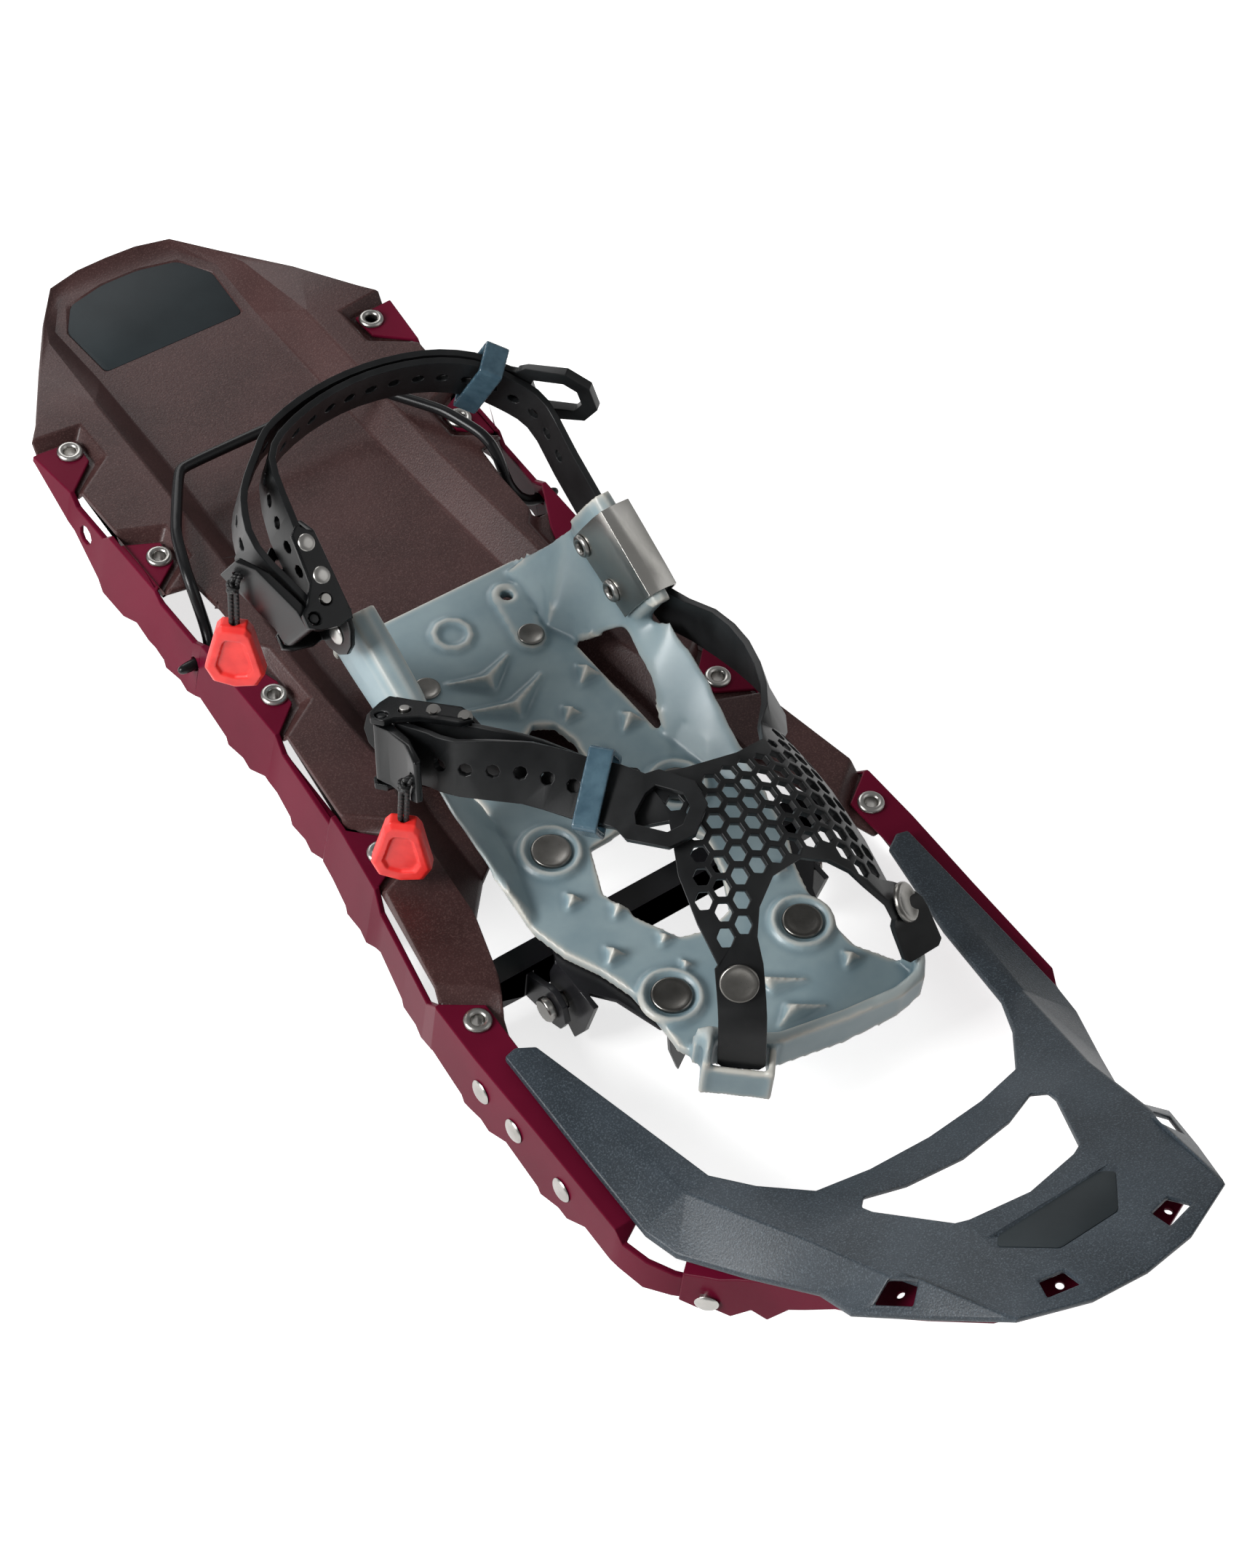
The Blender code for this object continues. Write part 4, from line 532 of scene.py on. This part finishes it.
def edgePiece(node, edge, smooth=edging["smooth"], finish=None, ring=None, end=None, holes=()):
    piece = weldedCopy(node, node + "Edged")
    if ring:
        swellRing(piece, *ring)
    if end:
        drawEnd(piece, *end)
    for hole in holes:
        boreHole(piece, *hole)
    applied(piece, "BEVEL", width=edge * mm, segments=edging["segments"], limit_method="ANGLE",
            angle_limit=math.radians(edging["angle"]), use_clamp_overlap=False)
    makeActive(piece)
    bpy.ops.object.shade_smooth_by_angle(angle=math.radians(smooth))
    applied(piece, "WEIGHTED_NORMAL", weight=edging["weight"], keep_sharp=True)
    dress(piece, node, finish)
    print(node, "edges broken:", len(piece.data.polygons), "faces")


for node, settings in edged.items():
    edgePiece(node, **settings)

lifter = {"node": "heel_lifter", "levels": 2}


def roundLifter():
    piece = weldedCopy(lifter["node"], lifter["node"] + "Round")
    editAll()
    bpy.ops.mesh.tris_convert_to_quads()
    closeEdit(recalculate=False)
    applied(piece, "SUBSURF", levels=lifter["levels"], render_levels=lifter["levels"])
    bpy.ops.object.shade_smooth()
    dress(piece, lifter["node"])


roundLifter()
print("lifter rounded")

# Turned hardware: each profile is (share of the head's radius, share of the height), from the crown down
turnedHeads = {
    "dome": [(0, 0.8), (0.35, 0.79), (0.62, 0.7), (0.84, 0.48), (0.97, 0.22), (1, 0.08), (0.95, 0)],
    "disc": [(0, 0.24), (0.4, 0.27), (0.7, 0.4), (0.86, 0.5), (0.93, 0.49), (0.98, 0.4), (1, 0.2),
             (0.98, 0)],
    "cup": [(0, 0.45), (0.3, 0.45), (0.42, 0.55), (0.52, 0.95), (0.66, 1), (0.85, 0.86), (0.97, 0.45),
            (1, 0.1), (0.95, 0)],
}
turning = {
    "steps": 40, "lipSteps": 10,
    "smooth": 50,  # degrees
    "seam": 0.01, "foot": 0.3,  # mm
    "rimShare": 0.85, "boreShare": 0.46,  # of the head's radius
}


def measureTurned(node):
    # The axis of a round solid is the one direction in which it spreads unlike the other two
    points = np.array([v.co for v in frame["nodes"][node].data.vertices])
    points = np.unique(np.round(points, 6), axis=0)
    middle = (points.max(0) + points.min(0)) / 2
    spread, ways = np.linalg.svd(points - middle)[1:]
    axis = ways[0] if spread[0] - spread[1] > spread[1] - spread[2] else ways[2]
    height = (points - middle) @ axis
    radius = np.linalg.norm((points - middle) - np.outer(height, axis), axis=1)
    rim = height[radius > turning["rimShare"] * radius.max()]
    if abs(rim.max() - height.max()) > abs(rim.min() - height.min()):
        axis, height, rim = -axis, -height, -rim
    shank = radius[height < height.min() + turning["foot"] * mm].max()
    return Vector(middle), Vector(axis), radius.max(), shank, height.min(), rim.min(), height.max()


def spinPiece(name, profile):
    deselectAll()
    bpy.ops.mesh.primitive_plane_add(size=mm, location=(0, 0, 0))
    piece = bpy.context.object
    piece.name = name
    editAll()
    bpy.ops.mesh.merge(type="CENTER")
    bpy.ops.transform.translate(value=(profile[0][0], 0, profile[0][1]))
    for (r, z), (nextR, nextZ) in zip(profile, profile[1:]):
        bpy.ops.mesh.extrude_region_move(TRANSFORM_OT_translate={"value": (nextR - r, 0, nextZ - z)})
    bpy.ops.mesh.select_all(action="SELECT")
    bpy.ops.mesh.spin(steps=turning["steps"], angle=math.tau, center=(0, 0, 0), axis=(0, 0, 1))
    bpy.ops.mesh.select_all(action="SELECT")
    bpy.ops.mesh.remove_doubles(threshold=turning["seam"] * mm)
    closeEdit()
    return piece


def eyeletProfile(radius, shank, low, seat, top):
    # A rolled lip over half a turn, from the bore to the rim, on a straight shank
    bore, rise = turning["boreShare"] * radius, top - seat
    angles = [math.pi * (1 - k / turning["lipSteps"]) for k in range(turning["lipSteps"] + 1)]
    lip = [(bore + (radius - bore) / 2 * (1 + math.cos(a)), seat + rise * math.sin(a)) for a in angles]
    return [(bore, low), *lip, (shank, seat), (shank, low), (bore, low)]


def headProfile(head, radius, shank, low, seat, top):
    crown = [(r * radius, seat + (top - seat) * z) for r, z in turnedHeads[head]]
    return [*crown, (shank, seat), (shank, low), (0, low)]


def turnPiece(node, head, finish=None):
    middle, axis, *sizes = measureTurned(node)
    profile = eyeletProfile(*sizes) if head == "eyelet" else headProfile(head, *sizes)
    piece = spinPiece(node + "Turned", profile)
    piece.data.transform(Matrix.Translation(middle) @ axis.to_track_quat("Z", "X").to_matrix().to_4x4())
    makeActive(piece)
    bpy.ops.object.shade_smooth_by_angle(angle=math.radians(turning["smooth"]))
    dress(piece, node, finish)


for node in sorted(bodyOf):
    if "eyelet" in node:
        turnPiece(node, "eyelet")
    elif "forefoot_buckle_rivet" in node:
        turnPiece(node, "cup")
    elif "bed_rivet" in node or "toe_rivet" in node:
        turnPiece(node, "disc", "rivet_steel")
    elif "rivet" in node or node.endswith("_stud"):
        turnPiece(node, "dome")
print("hardware turned")

# Label films, left plain: half an outline in mm, mirrored, with the height and the slope along the shoe
labels = {
    "tailLabel": {"half": [(32.4, 261.6), (34.4, 289), (25.4, 302.4), (8.5, 306.3)], "corner": 2.5,
                  "height": 22.75, "slope": 0.0, "about": 285},
    "noseLabel": {"half": [(21.2, -275.6), (24.8, -279.3), (12, -293.1)], "corner": 1.5,
                  "height": 95.1, "slope": -0.5, "about": -283},
}
labelCut = {"thick": 0.7, "cornerSteps": 4, "edge": 0.25, "edgeSteps": 2, "angle": 50, "smooth": 40}


def layLabel(name, half, corner, height, slope, about):
    outline = [*half, *((-x, y) for x, y in reversed(half))]
    deselectAll()
    bpy.ops.mesh.primitive_circle_add(vertices=len(outline), radius=mm, fill_type="NGON", location=(0, 0, 0))
    piece = bpy.context.object
    piece.name = name
    for vertex, (x, y) in zip(piece.data.vertices, outline):
        vertex.co = Vector((x, y, height + slope * (y - about))) * mm
    editAll()
    bpy.ops.mesh.bevel(offset=corner * mm, segments=labelCut["cornerSteps"], affect="VERTICES")
    bpy.ops.mesh.select_all(action="SELECT")
    bpy.ops.mesh.extrude_region_move(TRANSFORM_OT_translate={"value": (0, 0, -labelCut["thick"] * mm)})
    closeEdit()
    applied(piece, "BEVEL", width=labelCut["edge"] * mm, segments=labelCut["edgeSteps"],
            limit_method="ANGLE", angle_limit=math.radians(labelCut["angle"]))
    makeActive(piece)
    bpy.ops.object.shade_smooth_by_angle(angle=math.radians(labelCut["smooth"]))
    piece.data.materials.append(finishes["label"])
    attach(piece, "base")


for name, settings in labels.items():
    layLabel(name, **settings)
print("labels laid")

# Pull cords: two strands out of the lever's hole, over its end and plumb down into the tab, in mm
cords = {
    "forefoot": {"hole": (-72.95, -25.72, 93.80), "turn": (-78.89, -25.58, 94.63), "end": 67.63},
    "heel": {"hole": (-86.32, 64.95, 121.26), "turn": (-91.98, 63.02, 120.78), "end": 93.78},
}
strands = {
    "thick": 2.0, "beside": (0.75, -0.66, 0), "apart": 1.05,
    "start": 0.3, "opening": 8,  # the share of that gap at the hole, and how many points it takes to open
    "ahead": 4.5, "under": 0.5, "bendDrop": 7, "bendPoints": 12, "plumbPoints": 8,
}
knots = {
    "drop": 3.2, "radius": 1.75, "thick": 0.8, "sides": (32, 12),
    "heading": 0.85,  # radians
    "turns": [(0.35, 0, 0.9), (-0.4, 0.2, -0.9), (1.1, 0.6, 0)],  # tilt and roll in radians, rise in mm
}


def strandPath(hole, turn, end, offset):
    # Out of the hole, round the lever's end on one curve, then plumb; the two strands part over a few points
    hole, turn = Vector(hole), Vector(turn)
    ahead = hole + (turn - hole).normalized() * strands["ahead"]
    hang = Vector((turn.x, turn.y, turn.z - strands["bendDrop"]))
    over = turn - Vector((0, 0, strands["under"]))
    bend = interpolate_bezier(hole, ahead, over, hang, strands["bendPoints"])
    foot, count = Vector((turn.x, turn.y, end)), strands["plumbPoints"]
    path = [*bend, *(hang.lerp(foot, k / count) for k in range(1, count + 1))]
    side = Vector(strands["beside"]).normalized() * offset
    parted = [min(1, strands["start"] + k / strands["opening"]) for k in range(len(path))]
    return [(point + side * share) * mm for point, share in zip(path, parted)]


def drawStrand(name, points):
    data = bpy.data.curves.new(name, "CURVE")
    data.dimensions = "3D"
    spline = data.splines.new("NURBS")
    spline.points.add(len(points) - 1)
    for control, point in zip(spline.points, points):
        control.co = (*point, 1)
    spline.use_endpoint_u = True
    spline.order_u = 3
    spline.resolution_u = 4
    data.bevel_depth = strands["thick"] / 2 * mm
    data.bevel_resolution = 4
    data.use_fill_caps = True
    strand = bpy.data.objects.new(name, data)
    bpy.context.scene.collection.objects.link(strand)
    strand.data.materials.append(finishes["black_cord"])
    makeActive(strand)
    bpy.ops.object.convert(target="MESH")
    bpy.ops.object.shade_smooth()
    return bpy.context.object


def hangStrand(name, points, tab):
    strand = drawStrand(name, points)
    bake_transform(strand)
    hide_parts(tab + "_cord")


def tieKnot(tab):
    # A hitch just below the lever's end, as three turns of the cord drawn tight over each other
    middle = Vector(cords[tab]["turn"]) - Vector((0, 0, knots["drop"]))
    around, across = knots["sides"]
    turns = []
    for tilt, roll, rise in knots["turns"]:
        deselectAll()
        bpy.ops.mesh.primitive_torus_add(
            location=(middle + Vector((0, 0, rise))) * mm, rotation=(tilt, roll, knots["heading"]),
            major_radius=knots["radius"] * mm, minor_radius=knots["thick"] * mm,
            major_segments=around, minor_segments=across)
        bpy.ops.object.transform_apply()
        turns.append(bpy.context.object)
    deselectAll()
    for piece in turns:
        piece.select_set(True)
    knot = turns[0]
    bpy.context.view_layer.objects.active = knot
    bpy.ops.object.join()
    knot.name = tab + "Knot"
    bpy.ops.object.shade_smooth()
    knot.data.materials.append(finishes["black_cord"])
    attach(knot, bodyOf[tab + "_cord"])
    return knot


for tab, settings in cords.items():
    knot = tieKnot(tab)
    grip = bpy.data.objects[tab + "_pull_tabMoulded"]
    for strand, way, extra in (("NearStrand", 1, [grip, knot]), ("FarStrand", -1, [grip])):
        hangStrand(tab + strand, strandPath(**settings, offset=way * strands["apart"]), tab)
print("cords hung")

# Studio: a pale floor, soft light from low on the left, and weaker lamps at the right and behind, in metres
studio = {
    "floor": "#f3f3f2", "floorSize": 8, "floorHeight": -0.0005, "aim": (0, 0, 0.05),
    "ambient": 0.27, "lift": 0.72, "mirrored": 0.45,  # strengths, where 1 is white
}
lamps = {
    "keyLight": {"place": (-1.55, 0.3, 0.98), "size": 0.9, "power": 40},
    "fillLight": {"place": (1.1, -1.0, 1.2), "size": 1.4, "power": 4},
    "backLight": {"place": (0.3, 1.6, 1.0), "size": 1.0, "power": 8},
}


def areaLight(name, place, size, power):
    lamp = bpy.data.lights.new(name, "AREA")
    lamp.size = size
    lamp.energy = power
    holder = bpy.data.objects.new(name, lamp)
    bpy.context.scene.collection.objects.link(holder)
    holder.location = place
    holder.rotation_euler = (Vector(studio["aim"]) - Vector(place)).to_track_quat("-Z", "Y").to_euler()


def studioPaper():
    # Matt white paper: it glows for the camera and in mirrors, so that it shows white and shadows stay faint
    material = newMaterial("studioPaper", Roughness=0.9, Base_Color=hexColour(studio["floor"]),
                           Emission_Color=(1, 1, 1, 1))
    path = addNode(material, "ShaderNodeLightPath", {})
    mirrored = addNode(material, "ShaderNodeMath",
                       {0: path.outputs["Is Glossy Ray"], 1: path.outputs["Is Transmission Ray"]},
                       operation="MAXIMUM")
    weaker = addNode(material, "ShaderNodeMath", {0: mirrored.outputs[0], 1: studio["mirrored"]},
                     operation="MULTIPLY")
    seen = addNode(material, "ShaderNodeMath", {0: path.outputs["Is Camera Ray"], 1: studio["lift"]},
                   operation="MULTIPLY")
    lift = addNode(material, "ShaderNodeMath", {0: seen.outputs[0], 1: weaker.outputs[0]},
                   operation="MAXIMUM")
    link(material, lift.outputs[0], "Emission Strength")
    return material


def layFloor():
    deselectAll()
    bpy.ops.mesh.primitive_plane_add(size=studio["floorSize"], location=(0, 0, studio["floorHeight"]))
    floor = bpy.context.object
    floor.name = "studioFloor"
    floor.data.materials.append(studioPaper())


def lightWorld():
    # White where the camera sees it, and a dim even light for all else
    world = bpy.data.worlds.new("studioWorld")
    bpy.context.scene.world = world
    world.use_nodes = True
    path = addNode(world, "ShaderNodeLightPath", {})
    ambient = addNode(world, "ShaderNodeMapRange",
                      {"Value": path.outputs["Is Camera Ray"], "To Min": studio["ambient"]})
    background = world.node_tree.nodes["Background"]
    background.inputs["Color"].default_value = (1, 1, 1, 1)
    world.node_tree.links.new(ambient.outputs[0], background.inputs["Strength"])


layFloor()
lightWorld()
for name, settings in lamps.items():
    areaLight(name, **settings)
print("studio lit")
